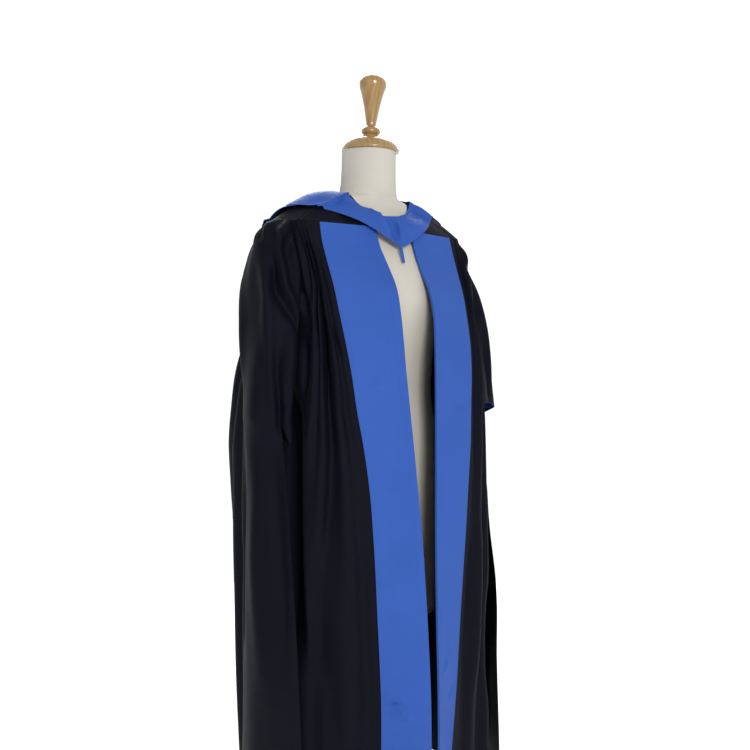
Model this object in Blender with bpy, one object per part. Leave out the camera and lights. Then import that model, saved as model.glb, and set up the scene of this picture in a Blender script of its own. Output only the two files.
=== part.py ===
# A graduation gown with its hood, worn by a limbless dress form that stands on a round base.
# Metres, +Z up. The gown's front faces -Y and the wearer's left is +X. The floor is z = 0.

import math

import bpy
import numpy as np
from mathutils.bvhtree import BVHTree

# Cloth and seams
SEAM_GAP = 0.0003
SLEEVE_GAP = 0.0012
BLACK_CLOTH = 0.0016
SATIN = 0.0012

# Heights of the gown
HEM_HEIGHT = 0.21
ARMPIT_HEIGHT = 1.205
ARMHOLE_TOP = 1.446
YOKE_SEAM = 1.4423

# Girth runs from 0 at the front edge, round one side, to 1 at the centre back.
FACING_RETURN = 0.015
FACING_EDGE = 0.15
FRONT_CORNER = 0.37
SIDE_SEAM = 0.49
REAR_CORNER = 0.69
CENTRE_BACK = 1.0
GIRTH_KNOTS = (0.0, FACING_EDGE, FRONT_CORNER, SIDE_SEAM, REAR_CORNER, CENTRE_BACK, 2 - REAR_CORNER)
ARMHOLE_FRONT = 0.105
ARMHOLE_REAR = 0.095
ARMHOLE_SPREAD = 0.8
GIRTH_STEP = 0.004

# One row for each level of the gown's body: its height, then how far out and how far forward each knot of the
# girth lies. Half of the body is given, and the other half mirrors it.
BODY_COLUMNS = ("height", "edge_out", "edge_fwd", "facing_out", "facing_fwd", "corner_out", "corner_fwd",
                "side_out", "rear_out", "rear_back", "centre_back")
BODY_LEVELS = (
    (1.448, 0.0505, 0.0945, 0.178, 0.074, 0.228, 0.044, 0.246, 0.214, 0.066, 0.102),
    (1.400, 0.0490, 0.1080, 0.180, 0.087, 0.222, 0.064, 0.246, 0.209, 0.083, 0.115),
    (1.363, 0.0460, 0.1280, 0.179, 0.101, 0.217, 0.076, 0.245, 0.206, 0.092, 0.123),
    (1.308, 0.0460, 0.1605, 0.177, 0.123, 0.215, 0.088, 0.240, 0.212, 0.110, 0.138),
    (1.252, 0.0467, 0.1755, 0.174, 0.139, 0.218, 0.093, 0.238, 0.222, 0.125, 0.152),
    (1.197, 0.0445, 0.1810, 0.170, 0.153, 0.222, 0.098, 0.238, 0.232, 0.134, 0.164),
    (1.141, 0.0420, 0.1850, 0.164, 0.163, 0.228, 0.101, 0.241, 0.243, 0.141, 0.174),
    (1.060, 0.0370, 0.1915, 0.155, 0.171, 0.234, 0.104, 0.246, 0.252, 0.146, 0.188),
    (0.985, 0.0320, 0.1975, 0.145, 0.180, 0.238, 0.105, 0.250, 0.257, 0.150, 0.200),
    (0.900, 0.0265, 0.2035, 0.134, 0.185, 0.244, 0.105, 0.254, 0.256, 0.148, 0.208),
    (0.800, 0.0205, 0.2100, 0.125, 0.186, 0.250, 0.107, 0.258, 0.254, 0.146, 0.214),
    (0.650, 0.0153, 0.2190, 0.114, 0.184, 0.256, 0.109, 0.262, 0.248, 0.142, 0.222),
    (0.474, 0.0120, 0.2270, 0.102, 0.181, 0.256, 0.112, 0.264, 0.241, 0.139, 0.229),
    (0.310, 0.0115, 0.2290, 0.095, 0.172, 0.257, 0.114, 0.266, 0.232, 0.133, 0.233),
    (0.210, 0.0110, 0.2300, 0.092, 0.170, 0.258, 0.115, 0.267, 0.228, 0.131, 0.235),
)

# The yoke's two edges at the girth's knots: its neckline, and the height of its lower seam.
# Columns: out, forward, height.
NECKLINE = (
    (0.0580, 0.075, 1.4780),
    (0.0710, 0.048, 1.4990),
    (0.0765, 0.012, 1.5185),
    (0.0750, -0.012, 1.5235),
    (0.0580, -0.042, 1.5280),
    (0.0000, -0.060, 1.5285),
    (-0.0580, -0.042, 1.5280),
)
YOKE_SEAM_HEIGHTS = (YOKE_SEAM, YOKE_SEAM, 1.4445, 1.446, 1.410, 1.382, 1.410)
YOKE_ROUNDNESS = (1.15, 1.30, 1.80, 1.80, 1.40, 1.15, 1.40)

# Folds of the front panels: where on the girth each runs at its top and at its foot, how wide it is there, how
# far it stands out (a trough stands in), and the heights where it starts and ends.
# Columns: girth at the top, girth at the foot, width at the top, width at the foot, depth, start, end.
RIGHT_FRONT_FOLDS = (
    (0.185, 0.190, 0.022, 0.026, -0.0050, YOKE_SEAM, 0.30),
    (0.212, 0.232, 0.022, 0.034, 0.0085, YOKE_SEAM, 0.21),
    (0.240, 0.274, 0.022, 0.032, -0.0090, YOKE_SEAM, 0.21),
    (0.268, 0.310, 0.022, 0.030, 0.0090, YOKE_SEAM, 0.40),
    (0.296, 0.322, 0.022, 0.028, -0.0070, YOKE_SEAM, 1.05),
    (0.324, 0.345, 0.022, 0.030, 0.0060, YOKE_SEAM, 1.08),
    (0.300, 0.290, 0.030, 0.034, 0.0080, 0.600, 0.21),
    (0.412, 0.352, 0.030, 0.030, -0.0180, 1.120, 0.50),
)
LEFT_FRONT_FOLDS = (
    (0.186, 0.196, 0.022, 0.026, -0.0050, YOKE_SEAM, 0.30),
    (0.214, 0.238, 0.022, 0.034, 0.0080, YOKE_SEAM, 0.21),
    (0.244, 0.280, 0.022, 0.034, -0.0090, YOKE_SEAM, 0.21),
    (0.272, 0.322, 0.022, 0.034, 0.0080, YOKE_SEAM, 0.21),
    (0.302, 0.352, 0.022, 0.032, -0.0070, YOKE_SEAM, 1.00),
)
FOLD_RUN_IN = 0.12
FOLD_RUN_OUT = 0.22
SEWN_SHARE = 0.35

# The back is gathered to its yoke in small flutes, which open into broad folds at the hem. Each change along
# the height is given as where it begins and how far down it takes.
BACK_FLUTES = 7
FLUTE_DEPTH = 0.0042
FLUTE_SEWN_SHARE = 0.25
FLUTE_LOW_SHARE = 0.20
FLUTES_GROW = (1.40, 0.06)
FLUTES_FADE = (1.30, 0.45)
BACK_FOLDS = 4
BACK_FOLD_DEPTH = 0.0150
FOLDS_GROW = (1.25, 0.75)
BACK_START = SIDE_SEAM + 0.05
BACK_FULL = SIDE_SEAM + 0.16

# Sleeve, down to the elbow: one row for each of eight lines, from the top of the shoulder forward and round.
# A row gives the line's place at the elbow, then the way it leaves the armhole and the way it reaches the elbow.
# Columns: elbow out, forward, height; start out, forward, up; lean out, forward, up.
RIGHT_SLEEVE_LINES = (
    (0.312, 0.000, 1.050, 0.200, 0.000, -0.130, 0.020, 0.000, -0.450),
    (0.318, 0.048, 1.045, 0.200, 0.060, -0.170, 0.030, 0.000, -0.420),
    (0.276, 0.082, 1.030, 0.050, 0.050, -0.200, 0.020, -0.010, -0.350),
    (0.260, 0.096, 0.985, 0.020, 0.050, -0.150, 0.010, 0.030, -0.250),
    (0.258, 0.030, 1.030, 0.015, 0.020, -0.100, 0.000, 0.020, -0.180),
    (0.259, -0.020, 1.040, 0.020, -0.020, -0.120, 0.000, 0.000, -0.200),
    (0.270, -0.052, 1.045, 0.050, -0.030, -0.200, 0.000, 0.000, -0.300),
    (0.292, -0.034, 1.050, 0.190, -0.050, -0.170, 0.010, 0.000, -0.420),
)
LEFT_SLEEVE_LINES = (
    (0.312, 0.000, 1.050, 0.200, 0.000, -0.130, 0.020, 0.000, -0.450),
    (0.331, 0.066, 1.052, 0.190, 0.080, -0.170, 0.030, 0.010, -0.420),
    (0.295, 0.087, 1.066, 0.050, 0.050, -0.200, 0.030, 0.000, -0.350),
    (0.260, 0.098, 1.058, 0.020, 0.050, -0.150, 0.010, 0.020, -0.250),
    (0.258, 0.030, 1.040, 0.015, 0.020, -0.100, 0.000, 0.020, -0.180),
    (0.259, -0.020, 1.040, 0.020, -0.020, -0.120, 0.000, 0.000, -0.200),
    (0.270, -0.052, 1.045, 0.050, -0.030, -0.200, 0.000, 0.000, -0.300),
    (0.292, -0.034, 1.050, 0.190, -0.050, -0.170, 0.010, 0.000, -0.420),
)

# Below the elbow the sleeve hangs open at the front. One row for each level: the open front edge, then the knots
# round the outside and the back to the inner edge beside the body, as (out, forward).
# Columns: height, front edge, outer, outer rear, rear, inner rear, inner, inner edge.
OPEN_SLEEVE_LEVELS = (
    (0.970, (0.266, 0.080), (0.308, 0.008), (0.292, -0.030), (0.272, -0.050), (0.263, -0.020), (0.262, 0.020),
     (0.262, 0.045)),
    (0.900, (0.270, 0.097), (0.307, 0.012), (0.293, -0.028), (0.275, -0.048), (0.267, -0.018), (0.266, 0.022),
     (0.266, 0.050)),
    (0.800, (0.270, 0.108), (0.307, 0.014), (0.294, -0.028), (0.278, -0.046), (0.270, -0.015), (0.269, 0.025),
     (0.269, 0.055)),
    (0.650, (0.272, 0.128), (0.308, 0.018), (0.296, -0.028), (0.282, -0.044), (0.274, -0.012), (0.273, 0.028),
     (0.273, 0.060)),
    (0.500, (0.268, 0.139), (0.309, 0.022), (0.298, -0.026), (0.285, -0.041), (0.277, -0.010), (0.276, 0.030),
     (0.276, 0.064)),
    (0.370, (0.266, 0.146), (0.310, 0.024), (0.300, -0.025), (0.287, -0.039), (0.279, -0.008), (0.278, 0.032),
     (0.278, 0.066)),
    (0.250, (0.266, 0.149), (0.312, 0.026), (0.302, -0.023), (0.289, -0.038), (0.281, -0.006), (0.280, 0.033),
     (0.280, 0.067)),
)
RIGHT_OPENING = (0.25, 0.4375)
LEFT_OPENING = (0.125, 0.4375)
SLEEVE_GATHERS = 11
GATHER_DEPTH = 0.0035
GATHER_REACH = 0.72
SLEEVE_ROW_GROWTH = 1.25
CUFF_LINING_ROWS = 3

# Hood: the neckband's stations from the wearer's right shoulder to the left side of the neck, with its upper and
# lower edges. It has slipped a little to the right, and so it lies wider on that shoulder.
# Columns: top out to the left, top forward, top height, low out to the left, low forward, low height, swell.
BAND_STATIONS = (
    (-0.0880, -0.0380, 1.5310, -0.212, 0.0020, 1.4790, 0.004),
    (-0.0880, -0.0060, 1.5275, -0.182, 0.0460, 1.4740, 0.005),
    (-0.0840, 0.0300, 1.5095, -0.138, 0.0660, 1.4690, 0.005),
    (-0.0670, 0.0580, 1.4930, -0.098, 0.0930, 1.4530, 0.006),
    (-0.0450, 0.0780, 1.4800, -0.066, 0.1110, 1.4350, 0.005),
    (-0.0220, 0.0850, 1.4735, -0.034, 0.1190, 1.4165, 0.003),
    (0.0000, 0.0860, 1.4715, 0.000, 0.1210, 1.4015, -0.004),
    (0.0220, 0.0850, 1.4735, 0.034, 0.1190, 1.4165, 0.003),
    (0.0450, 0.0780, 1.4800, 0.066, 0.1110, 1.4350, 0.005),
    (0.0670, 0.0580, 1.4930, 0.098, 0.0930, 1.4530, 0.006),
    (0.0840, 0.0300, 1.5095, 0.129, 0.0640, 1.4705, 0.005),
    (0.0870, -0.0060, 1.5270, 0.150, 0.0350, 1.4850, 0.004),
)
BAND_POINT = 6

# Hood: how far it reaches from the neckline over the yoke and down the back, at a few places of the girth.
# Columns: girth, start of the shell, reach of the shell, start of the lining, reach of the lining.
HOOD_REACH = (
    (0.34, 0.008, 0.088, 0.004, 0.097),
    (0.42, 0.004, 0.128, 0.001, 0.140),
    (0.52, 0.000, 0.154, 0.000, 0.166),
    (0.62, -0.006, 0.200, -0.001, 0.190),
    (0.75, -0.012, 0.360, -0.002, 0.240),
    (0.88, -0.014, 0.530, -0.004, 0.300),
    (1.00, -0.014, 0.620, -0.004, 0.330),
)
LIFT_REACH = 0.03
LIFT_ROUNDS = 5
LIFT_STEPS = 6
CLOTH_REST = 0.0008
BAND_REST = 0.0003
HOOD_REST = 0.0006
HOOD_CLEAR = 0.0120
HOOD_CLEAR_FROM = 0.10
HOOD_CLEAR_FULL = 0.24
HOOD_STAND = 0.10
LINING_REST = 0.0015
LINING_PUFF = 0.0080
LINING_PUFF_LEAN = 0.8
YOKE_ARC = 1.04

# The neckband swells forward and up between its edges. A loop hangs from its point.
BAND_SWELL_FORWARD = 0.5
BAND_SWELL_UP = 0.8
LOOP_WIDTH = 0.007
LOOP_LENGTH = 0.034
LOOP_THICKNESS = 0.0022
LOOP_FORWARD = 0.010
LOOP_ROWS = 5

# Dress form: one row for each level of the torso and neck
# Columns: height, half width, front, back.
FORM_LEVELS = (
    (0.600, 0.156, 0.110, 0.104),
    (0.640, 0.160, 0.113, 0.108),
    (0.750, 0.170, 0.120, 0.118),
    (0.870, 0.178, 0.125, 0.127),
    (0.950, 0.177, 0.128, 0.124),
    (1.020, 0.160, 0.124, 0.104),
    (1.090, 0.139, 0.112, 0.086),
    (1.160, 0.144, 0.118, 0.090),
    (1.230, 0.158, 0.137, 0.101),
    (1.290, 0.168, 0.150, 0.110),
    (1.340, 0.176, 0.137, 0.113),
    (1.390, 0.186, 0.110, 0.108),
    (1.430, 0.196, 0.090, 0.094),
    (1.455, 0.200, 0.078, 0.080),
    (1.4690, 0.197, 0.072, 0.073),
    (1.4759, 0.189, 0.069, 0.069),
    (1.4820, 0.179, 0.066, 0.065),
    (1.4930, 0.159, 0.063, 0.059),
    (1.5020, 0.139, 0.061, 0.055),
    (1.5090, 0.119, 0.061, 0.052),
    (1.5140, 0.099, 0.062, 0.050),
    (1.5175, 0.080, 0.063, 0.049),
    (1.5260, 0.069, 0.066, 0.047),
    (1.5400, 0.0645, 0.0685, 0.046),
    (1.570, 0.0610, 0.0705, 0.045),
    (1.600, 0.0595, 0.0725, 0.0445),
    (1.6230, 0.0595, 0.0735, 0.0435),
)
NECK_FORWARD = 0.015
NECK_TILT = math.radians(4.0)
TILT_START = 1.54

# Turned wood on the neck, as radius and height above the neck's top
CAP_PROFILE = ((0.0, 0.0), (0.0620, 0.0), (0.0628, 0.0030), (0.0615, 0.0080), (0.0560, 0.0165), (0.0440, 0.0245),
               (0.0270, 0.0295), (0.0150, 0.0305), (0.0, 0.0305))
KNOB_PROFILE = ((0.0, 0.0308), (0.0180, 0.0308), (0.0185, 0.0340), (0.0160, 0.0358), (0.0195, 0.0398),
                (0.0208, 0.0440), (0.0195, 0.0490), (0.0150, 0.0530), (0.0112, 0.0560), (0.0108, 0.0600),
                (0.0125, 0.0700), (0.0185, 0.1020), (0.0255, 0.1290), (0.0300, 0.1430), (0.0303, 0.1490),
                (0.0270, 0.1570), (0.0190, 0.1630), (0.0140, 0.1640), (0.0, 0.1640))

# Stand
POLE_RADIUS = 0.0125
BASE_PROFILE = ((0.0, 0.0), (0.1900, 0.0), (0.1930, 0.0030), (0.1930, 0.0140), (0.1880, 0.0200), (0.1300, 0.0240),
                (0.0500, 0.0280), (0.0300, 0.0400), (0.0240, 0.0550), (0.0, 0.0550))

# How finely each piece is divided
PANEL_ROWS = 16
PANEL_ROW_GROWTH = 1.6
FACING_COLUMNS = 5
FRONT_COLUMNS = 13
BACK_COLUMNS = 57
YOKE_COLUMNS = 37
YOKE_ROWS = 7
SLEEVE_COLUMNS_ROUND = 32
SLEEVE_ROWS = 9
OPEN_SLEEVE_ROWS = 7
SHELL_COLUMNS = 29
SHELL_ROWS = 8
LINING_COLUMNS = 29
LINING_ROWS = 6
BAND_COLUMNS = 23
BAND_ROWS = 5
FORM_SIDES = 28
TURNED_SIDES = 18
ARMHOLE_POINTS = 14
ARMHOLE_CORNER_POINTS = 5
SHARP_ANGLE = math.radians(50)

BLACK = (0.012, 0.013, 0.018, 1.0)
BLUE = (0.045, 0.125, 0.50, 1.0)
JERSEY = (0.72, 0.68, 0.61, 1.0)
BEECH = (0.55, 0.34, 0.14, 1.0)
STEEL = (0.55, 0.55, 0.56, 1.0)


def material(name, colour, roughness, metallic=0.0):
    made = bpy.data.materials.new(name)
    made.use_nodes = True
    shader = made.node_tree.nodes["Principled BSDF"]
    shader.inputs["Base Color"].default_value = colour
    shader.inputs["Roughness"].default_value = roughness
    shader.inputs["Metallic"].default_value = metallic
    return made


def through(knots, rows, places):
    """Rows of numbers at knots, joined by one smooth curve and read at the given places."""
    knots = np.asarray(knots, float)
    rows = np.asarray(rows, float)
    if rows.ndim == 1:
        rows = rows[:, None]
    steps = np.diff(knots)[:, None]
    slopes = np.diff(rows, axis=0) / steps
    tangents = np.empty_like(rows)
    tangents[0], tangents[-1] = slopes[0], slopes[-1]
    tangents[1:-1] = (slopes[:-1] * steps[1:] + slopes[1:] * steps[:-1]) / (steps[:-1] + steps[1:])
    places = np.atleast_1d(np.asarray(places, float))
    left = np.clip(np.searchsorted(knots, places, side="right") - 1, 0, len(knots) - 2)
    width = steps[left]
    t = (places - knots[left])[:, None] / width
    return (
        (2 * t**3 - 3 * t**2 + 1) * rows[left]
        + (t**3 - 2 * t**2 + t) * width * tangents[left]
        + (3 * t**2 - 2 * t**3) * rows[left + 1]
        + (t**3 - t**2) * width * tangents[left + 1]
    )


def ramp(value, start, end):
    """0 at start and before, 1 at end and after, with soft ends."""
    share = np.clip((value - start) / (end - start), 0.0, 1.0)
    return share * share * (3 - 2 * share)


def fold_push(folds, girth, height):
    """How far the folds of a table push the cloth out at one place."""
    push = 0.0
    for girth_top, girth_foot, width_top, width_foot, depth, start, end in folds:
        run = np.clip((start - height) / (start - end), 0.0, 1.0)
        middle, width = girth_top + (girth_foot - girth_top) * run, width_top + (width_foot - width_top) * run
        across = (girth - middle) / width
        sewn_in = SEWN_SHARE if start >= YOKE_SEAM else 0.0
        grows = sewn_in + (1 - sewn_in) * ramp(start - height, 0.0, FOLD_RUN_IN)
        fades = 1.0 if end <= HEM_HEIGHT else ramp(height, end, end + FOLD_RUN_OUT)
        if abs(across) < 1:
            push += depth * grows * fades * (1 - across * across) ** 2
    return push


def back_push(girth, height):
    """Small flutes under the back yoke, which open into broad folds lower down."""
    share = (CENTRE_BACK - girth) / (CENTRE_BACK - SIDE_SEAM)
    reach = ramp(girth, BACK_START, BACK_FULL)
    grow, fade, broad = (ramp(start - height, 0.0, drop) for start, drop in (FLUTES_GROW, FLUTES_FADE, FOLDS_GROW))
    small = (FLUTE_SEWN_SHARE + (1 - FLUTE_SEWN_SHARE) * grow) * (1 - (1 - FLUTE_LOW_SHARE) * fade)
    flutes = FLUTE_DEPTH * small * math.cos(2 * math.pi * BACK_FLUTES * share)
    folds = BACK_FOLD_DEPTH * broad * math.cos(2 * math.pi * BACK_FOLDS * share)
    return reach * (flutes + folds)


def outline(height, girths):
    """The gown's smooth outline at one height, as (out, forward) at each girth."""
    heights = [-row[0] for row in BODY_LEVELS]
    row = dict(zip(BODY_COLUMNS, [height, *through(heights, [r[1:] for r in BODY_LEVELS], -height)[0]]))
    knots = (
        (row["edge_out"], row["edge_fwd"]),
        (row["facing_out"], row["facing_fwd"]),
        (row["corner_out"], row["corner_fwd"]),
        (row["side_out"], 0.0),
        (row["rear_out"], -row["rear_back"]),
        (0.0, -row["centre_back"]),
        (-row["rear_out"], -row["rear_back"]),
    )
    return through(GIRTH_KNOTS, knots, girths)


def body_point(side, girth, height, folded=True):
    """A point on the outside of the gown's body. side is -1 on the wearer's right and 1 on the left."""
    before, here, after = outline(height, [girth - GIRTH_STEP, girth, girth + GIRTH_STEP])
    run = after - before
    normal = np.array([-run[1], run[0]]) / math.hypot(*run)
    push = 0.0
    if folded:
        folds = RIGHT_FRONT_FOLDS if side < 0 else LEFT_FRONT_FOLDS
        push = fold_push(folds, girth, height) + back_push(girth, height)
    out, fwd = here + normal * push
    return np.array([side * out, -fwd, height])


def seam_height(girth):
    return through(GIRTH_KNOTS, YOKE_SEAM_HEIGHTS, girth)[0, 0]


def yoke_point(side, girth, share):
    """A point on the outside of the yoke, with share 0 at the neckline and 1 at the lower seam."""
    out, fwd, height = through(GIRTH_KNOTS, NECKLINE, girth)[0]
    neck = np.array([side * out, -fwd, height])
    seam = body_point(side, girth, seam_height(girth))
    roundness = through(GIRTH_KNOTS, YOKE_ROUNDNESS, girth)[0, 0]
    level = neck + (seam - neck) * share
    level[2] = neck[2] + (seam[2] - neck[2]) * max(share, 0.0) ** roundness
    return level


def normals_of(grid, closed=False):
    """Unit normals of a grid of points, rows down and columns across."""
    down = np.gradient(grid, axis=0)
    if closed:
        across = (np.roll(grid, -1, axis=1) - np.roll(grid, 1, axis=1)) / 2
    else:
        across = np.gradient(grid, axis=1)
    normal = np.cross(across, down)
    return normal / np.maximum(np.linalg.norm(normal, axis=2, keepdims=True), 1e-9)


def outward(grid, normal):
    """The same normals, turned where needed so that most of them point away from the middle of the grid."""
    middle = grid.reshape(-1, 3).mean(axis=0)
    return normal if np.sum((grid - middle) * normal) > 0 else -normal


def wall(name, outer, inner, finish, closed=False, kept=None, crossed=()):
    """One closed solid between two grids of points. closed joins the last column to the first, kept says which
    cells of the grid hold cloth, and crossed lists the columns of cells that are split the other way."""
    rows, columns = outer.shape[:2]
    cells = [
        (i * columns + j, i * columns + k, (i + 1) * columns + k, (i + 1) * columns + j)
        for i in range(rows - 1)
        for j in range(columns if closed else columns - 1)
        for k in [(j + 1) % columns]
        if kept is None or kept(i, j)
    ]
    inside = rows * columns
    edges = {(cell[n], cell[(n + 1) % 4]) for cell in cells for n in range(4)}
    halves = [half for a, b, c, d in cells
              for half in (((a, b, d), (b, c, d)) if a % columns in crossed else ((a, b, c), (a, c, d)))]
    faces = halves + [tuple(inside + p for p in reversed(half)) for half in halves]
    faces += [(q, p, inside + p, inside + q) for p, q in sorted(edges) if (q, p) not in edges]
    points = np.concatenate([outer.reshape(-1, 3), inner.reshape(-1, 3)])
    used = sorted({p for face in faces for p in face})
    place = {p: n for n, p in enumerate(used)}
    return mesh_object(name, points[used], [tuple(place[p] for p in face) for face in faces], finish)


def surface_of(grid, normal):
    """The outer face of a sheet, to measure from, with its faces turned the way its normals point."""
    rows, columns = grid.shape[:2]
    cells = [(i * columns + j, i * columns + j + 1, (i + 1) * columns + j + 1, (i + 1) * columns + j)
             for i in range(rows - 1) for j in range(columns - 1)]
    halves = [half for a, b, c, d in cells for half in ((a, b, c), (a, c, d))]
    points = grid.reshape(-1, 3)
    a, b, c = (points[halves[0][n]] for n in range(3))
    if np.dot(np.cross(b - a, c - a), normal[0, 0]) < 0:
        halves = [tuple(reversed(half)) for half in halves]
    return BVHTree.FromPolygons([tuple(p) for p in points], halves)


def lifted_clear(grid, surfaces, distance):
    """The points of a grid, lifted until the cells between them stand at least distance above each surface."""
    lifted = grid.copy()
    rows, columns = grid.shape[:2]
    for _ in range(LIFT_ROUNDS):
        push = np.zeros_like(grid)
        for i, j in np.ndindex((rows - 1) * LIFT_STEPS + 1, (columns - 1) * LIFT_STEPS + 1):
            row, column = min(i // LIFT_STEPS, rows - 2), min(j // LIFT_STEPS, columns - 2)
            down, across = i / LIFT_STEPS - row, j / LIFT_STEPS - column
            shares = {(0, 0): (1 - down) * (1 - across), (0, 1): (1 - down) * across,
                      (1, 0): down * (1 - across), (1, 1): down * across}
            spot = sum(share * lifted[row + r, column + c] for (r, c), share in shares.items())
            for surface in surfaces:
                found, away, _, gap = surface.find_nearest(tuple(spot))
                lack = distance - np.dot(spot - np.array(found), np.array(away))
                if gap > LIFT_REACH or lack <= 0:
                    continue
                for (r, c), share in shares.items():
                    corner = (row + r, column + c)
                    if share > 0 and lack > np.linalg.norm(push[corner]):
                        push[corner] = np.array(away) * lack
        lifted += push
    return lifted


def mesh_object(name, points, faces, finish):
    """A named object whose faces point out."""
    points = np.asarray(points, float)
    fans = [(face[0], face[i], face[i + 1]) for face in faces for i in range(1, len(face) - 1)]
    corners = points[np.array(fans)]
    volume = np.einsum("ij,ij->", corners[:, 0], np.cross(corners[:, 1], corners[:, 2]))
    if volume < 0:
        faces = [tuple(reversed(face)) for face in faces]
    mesh = bpy.data.meshes.new(name)
    mesh.from_pydata([tuple(p) for p in points], [], faces)
    mesh.materials.append(finish)
    mesh.shade_smooth()
    mesh.set_sharp_from_angle(angle=SHARP_ANGLE)
    made = bpy.data.objects.new(name, mesh)
    bpy.context.scene.collection.objects.link(made)
    return made


def lathe(name, profile, sides, finish):
    """A solid turned about its own Z axis from a profile of (radius, height), foot to top."""
    points, faces, rings = [], [], []
    for radius, height in profile:
        count = 1 if radius == 0.0 else sides
        rings.append(list(range(len(points), len(points) + count)))
        for i in range(count):
            angle = 2 * math.pi * i / sides
            points.append((radius * math.cos(angle), radius * math.sin(angle), height))
    for low, high in zip(rings, rings[1:]):
        for i in range(sides):
            k = (i + 1) % sides
            if len(low) == 1:
                faces.append((low[0], high[k], high[i]))
            elif len(high) == 1:
                faces.append((low[i], low[k], high[0]))
            else:
                faces.append((low[i], low[k], high[k], high[i]))
    return mesh_object(name, points, faces, finish)


def levelled(normal, row):
    """The same normals, with one row turned level so that the seam along it has a flat edge."""
    normal = normal.copy()
    normal[row, :, 2] = 0.0
    normal[row] /= np.linalg.norm(normal[row], axis=1, keepdims=True)
    return normal


def armhole_edge(height, reach):
    """How far the armhole opens from the side seam at one height, as girth."""
    drop = np.clip((ARMHOLE_TOP - height) / (ARMHOLE_TOP - ARMPIT_HEIGHT), 0.0, 1.0)
    return reach * math.sqrt(1.0 - drop**3)


def panel_grid(side, girths_at, columns):
    """Points of a panel of the body, whose girths at each height come from girths_at(height)."""
    shares = np.linspace(0.0, 1.0, PANEL_ROWS) ** PANEL_ROW_GROWTH
    grid = np.zeros((PANEL_ROWS, columns, 3))
    for i, share in enumerate(shares):
        for j, girth in enumerate(girths_at(ARMHOLE_TOP + (HEM_HEIGHT - ARMHOLE_TOP) * share)):
            flip = side if girth <= CENTRE_BACK else -side
            where = min(girth, 2 - girth)
            top = seam_height(where) - SEAM_GAP
            grid[i, j] = body_point(flip, where, top + (HEM_HEIGHT - top) * share)
    return grid


def front_panel(side):
    """Points and normals of a front panel, from its front edge to the side seam."""

    def girths_at(height):
        edge = SIDE_SEAM - armhole_edge(height, ARMHOLE_FRONT) - SEAM_GAP
        faced = np.linspace(FACING_RETURN, FACING_EDGE, FACING_COLUMNS - 1)
        return np.concatenate([[0.0], faced, np.linspace(FACING_EDGE, edge, FRONT_COLUMNS)[1:]])

    grid = panel_grid(side, girths_at, FACING_COLUMNS + FRONT_COLUMNS - 1)
    return grid, levelled(outward(grid, normals_of(grid)), 0)


def back_panel():
    def girths_at(height):
        edge = SIDE_SEAM + armhole_edge(height, ARMHOLE_REAR) + SEAM_GAP
        return np.linspace(edge, 2 - edge, BACK_COLUMNS)

    grid = panel_grid(-1, girths_at, BACK_COLUMNS)
    return grid, levelled(outward(grid, normals_of(grid)), 0)


def facing(name, panel, normal, finish):
    """A satin facing on a front panel's outside, folded round its front edge to a narrow return inside."""
    cloth, edge = panel[:, :FACING_COLUMNS], normal[:, :FACING_COLUMNS]
    across = cloth[:, 0] - cloth[:, 1]
    width = np.linalg.norm(across, axis=1, keepdims=True)
    across = across / width
    sheets = []
    for lift in (SEAM_GAP + SATIN, SEAM_GAP):
        outside = [cloth[:, j] + edge[:, j] * lift for j in range(1, FACING_COLUMNS)]
        corner = cloth[:, 0] + edge[:, 0] * lift + across * lift
        turned = cloth[:, 0] - edge[:, 0] * (BLACK_CLOTH + lift) + across * lift
        inside = cloth[:, 1] - edge[:, 1] * (BLACK_CLOTH + lift)
        sheets.append(np.stack([inside, turned, corner, *outside], axis=1))
    return wall(name, sheets[0], sheets[1], finish, crossed=(0,))


def yoke(form):
    """The yoke, laid over the form's shoulders."""
    girths = np.linspace(0.0, 2.0, YOKE_COLUMNS)
    grid = np.zeros((YOKE_ROWS, YOKE_COLUMNS, 3))
    for j, girth in enumerate(girths):
        side = -1 if girth <= CENTRE_BACK else 1
        for i, share in enumerate(np.linspace(0.0, 1.0, YOKE_ROWS)):
            grid[i, j] = yoke_point(side, min(girth, 2 - girth), share)
    grid[:-1] = lifted_clear(grid[:-1], [form], BLACK_CLOTH + CLOTH_REST)
    grid[-1, :, 2] += SEAM_GAP / 2
    return grid, levelled(outward(grid, normals_of(grid)), -1)


def armhole_ring(side, places):
    """Points round the armhole at the given shares of its length, from the shoulder's top forward."""
    front = np.linspace(SIDE_SEAM, SIDE_SEAM - ARMHOLE_FRONT, ARMHOLE_CORNER_POINTS)
    rear = np.linspace(SIDE_SEAM + ARMHOLE_REAR, SIDE_SEAM, ARMHOLE_CORNER_POINTS)
    drops = (ARMHOLE_TOP - ARMPIT_HEIGHT) * np.linspace(0, 1, ARMHOLE_POINTS) ** ARMHOLE_SPREAD
    heights = seam_height(front[-1]) - drops
    points = [body_point(side, girth, seam_height(girth)) for girth in front]
    points += [body_point(side, SIDE_SEAM - armhole_edge(h, ARMHOLE_FRONT), h) for h in heights[1:]]
    points += [body_point(side, SIDE_SEAM + armhole_edge(h, ARMHOLE_REAR), h) for h in heights[-2:0:-1]
               if h < seam_height(rear[0])]
    points += [body_point(side, girth, seam_height(girth)) for girth in rear]
    points = np.array(points)
    lengths = np.concatenate([[0.0], np.cumsum(np.linalg.norm(np.diff(points, axis=0), axis=1))])
    return through(lengths / lengths[-1], points, places)


def round_table(rows, places):
    """Rows of a table that goes once round, read at shares of the way round."""
    count = len(rows)
    around = [rows[k % count] for k in range(-2, count + 3)]
    knots = [k / count for k in range(-2, count + 3)]
    return through(knots, around, places)


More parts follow.
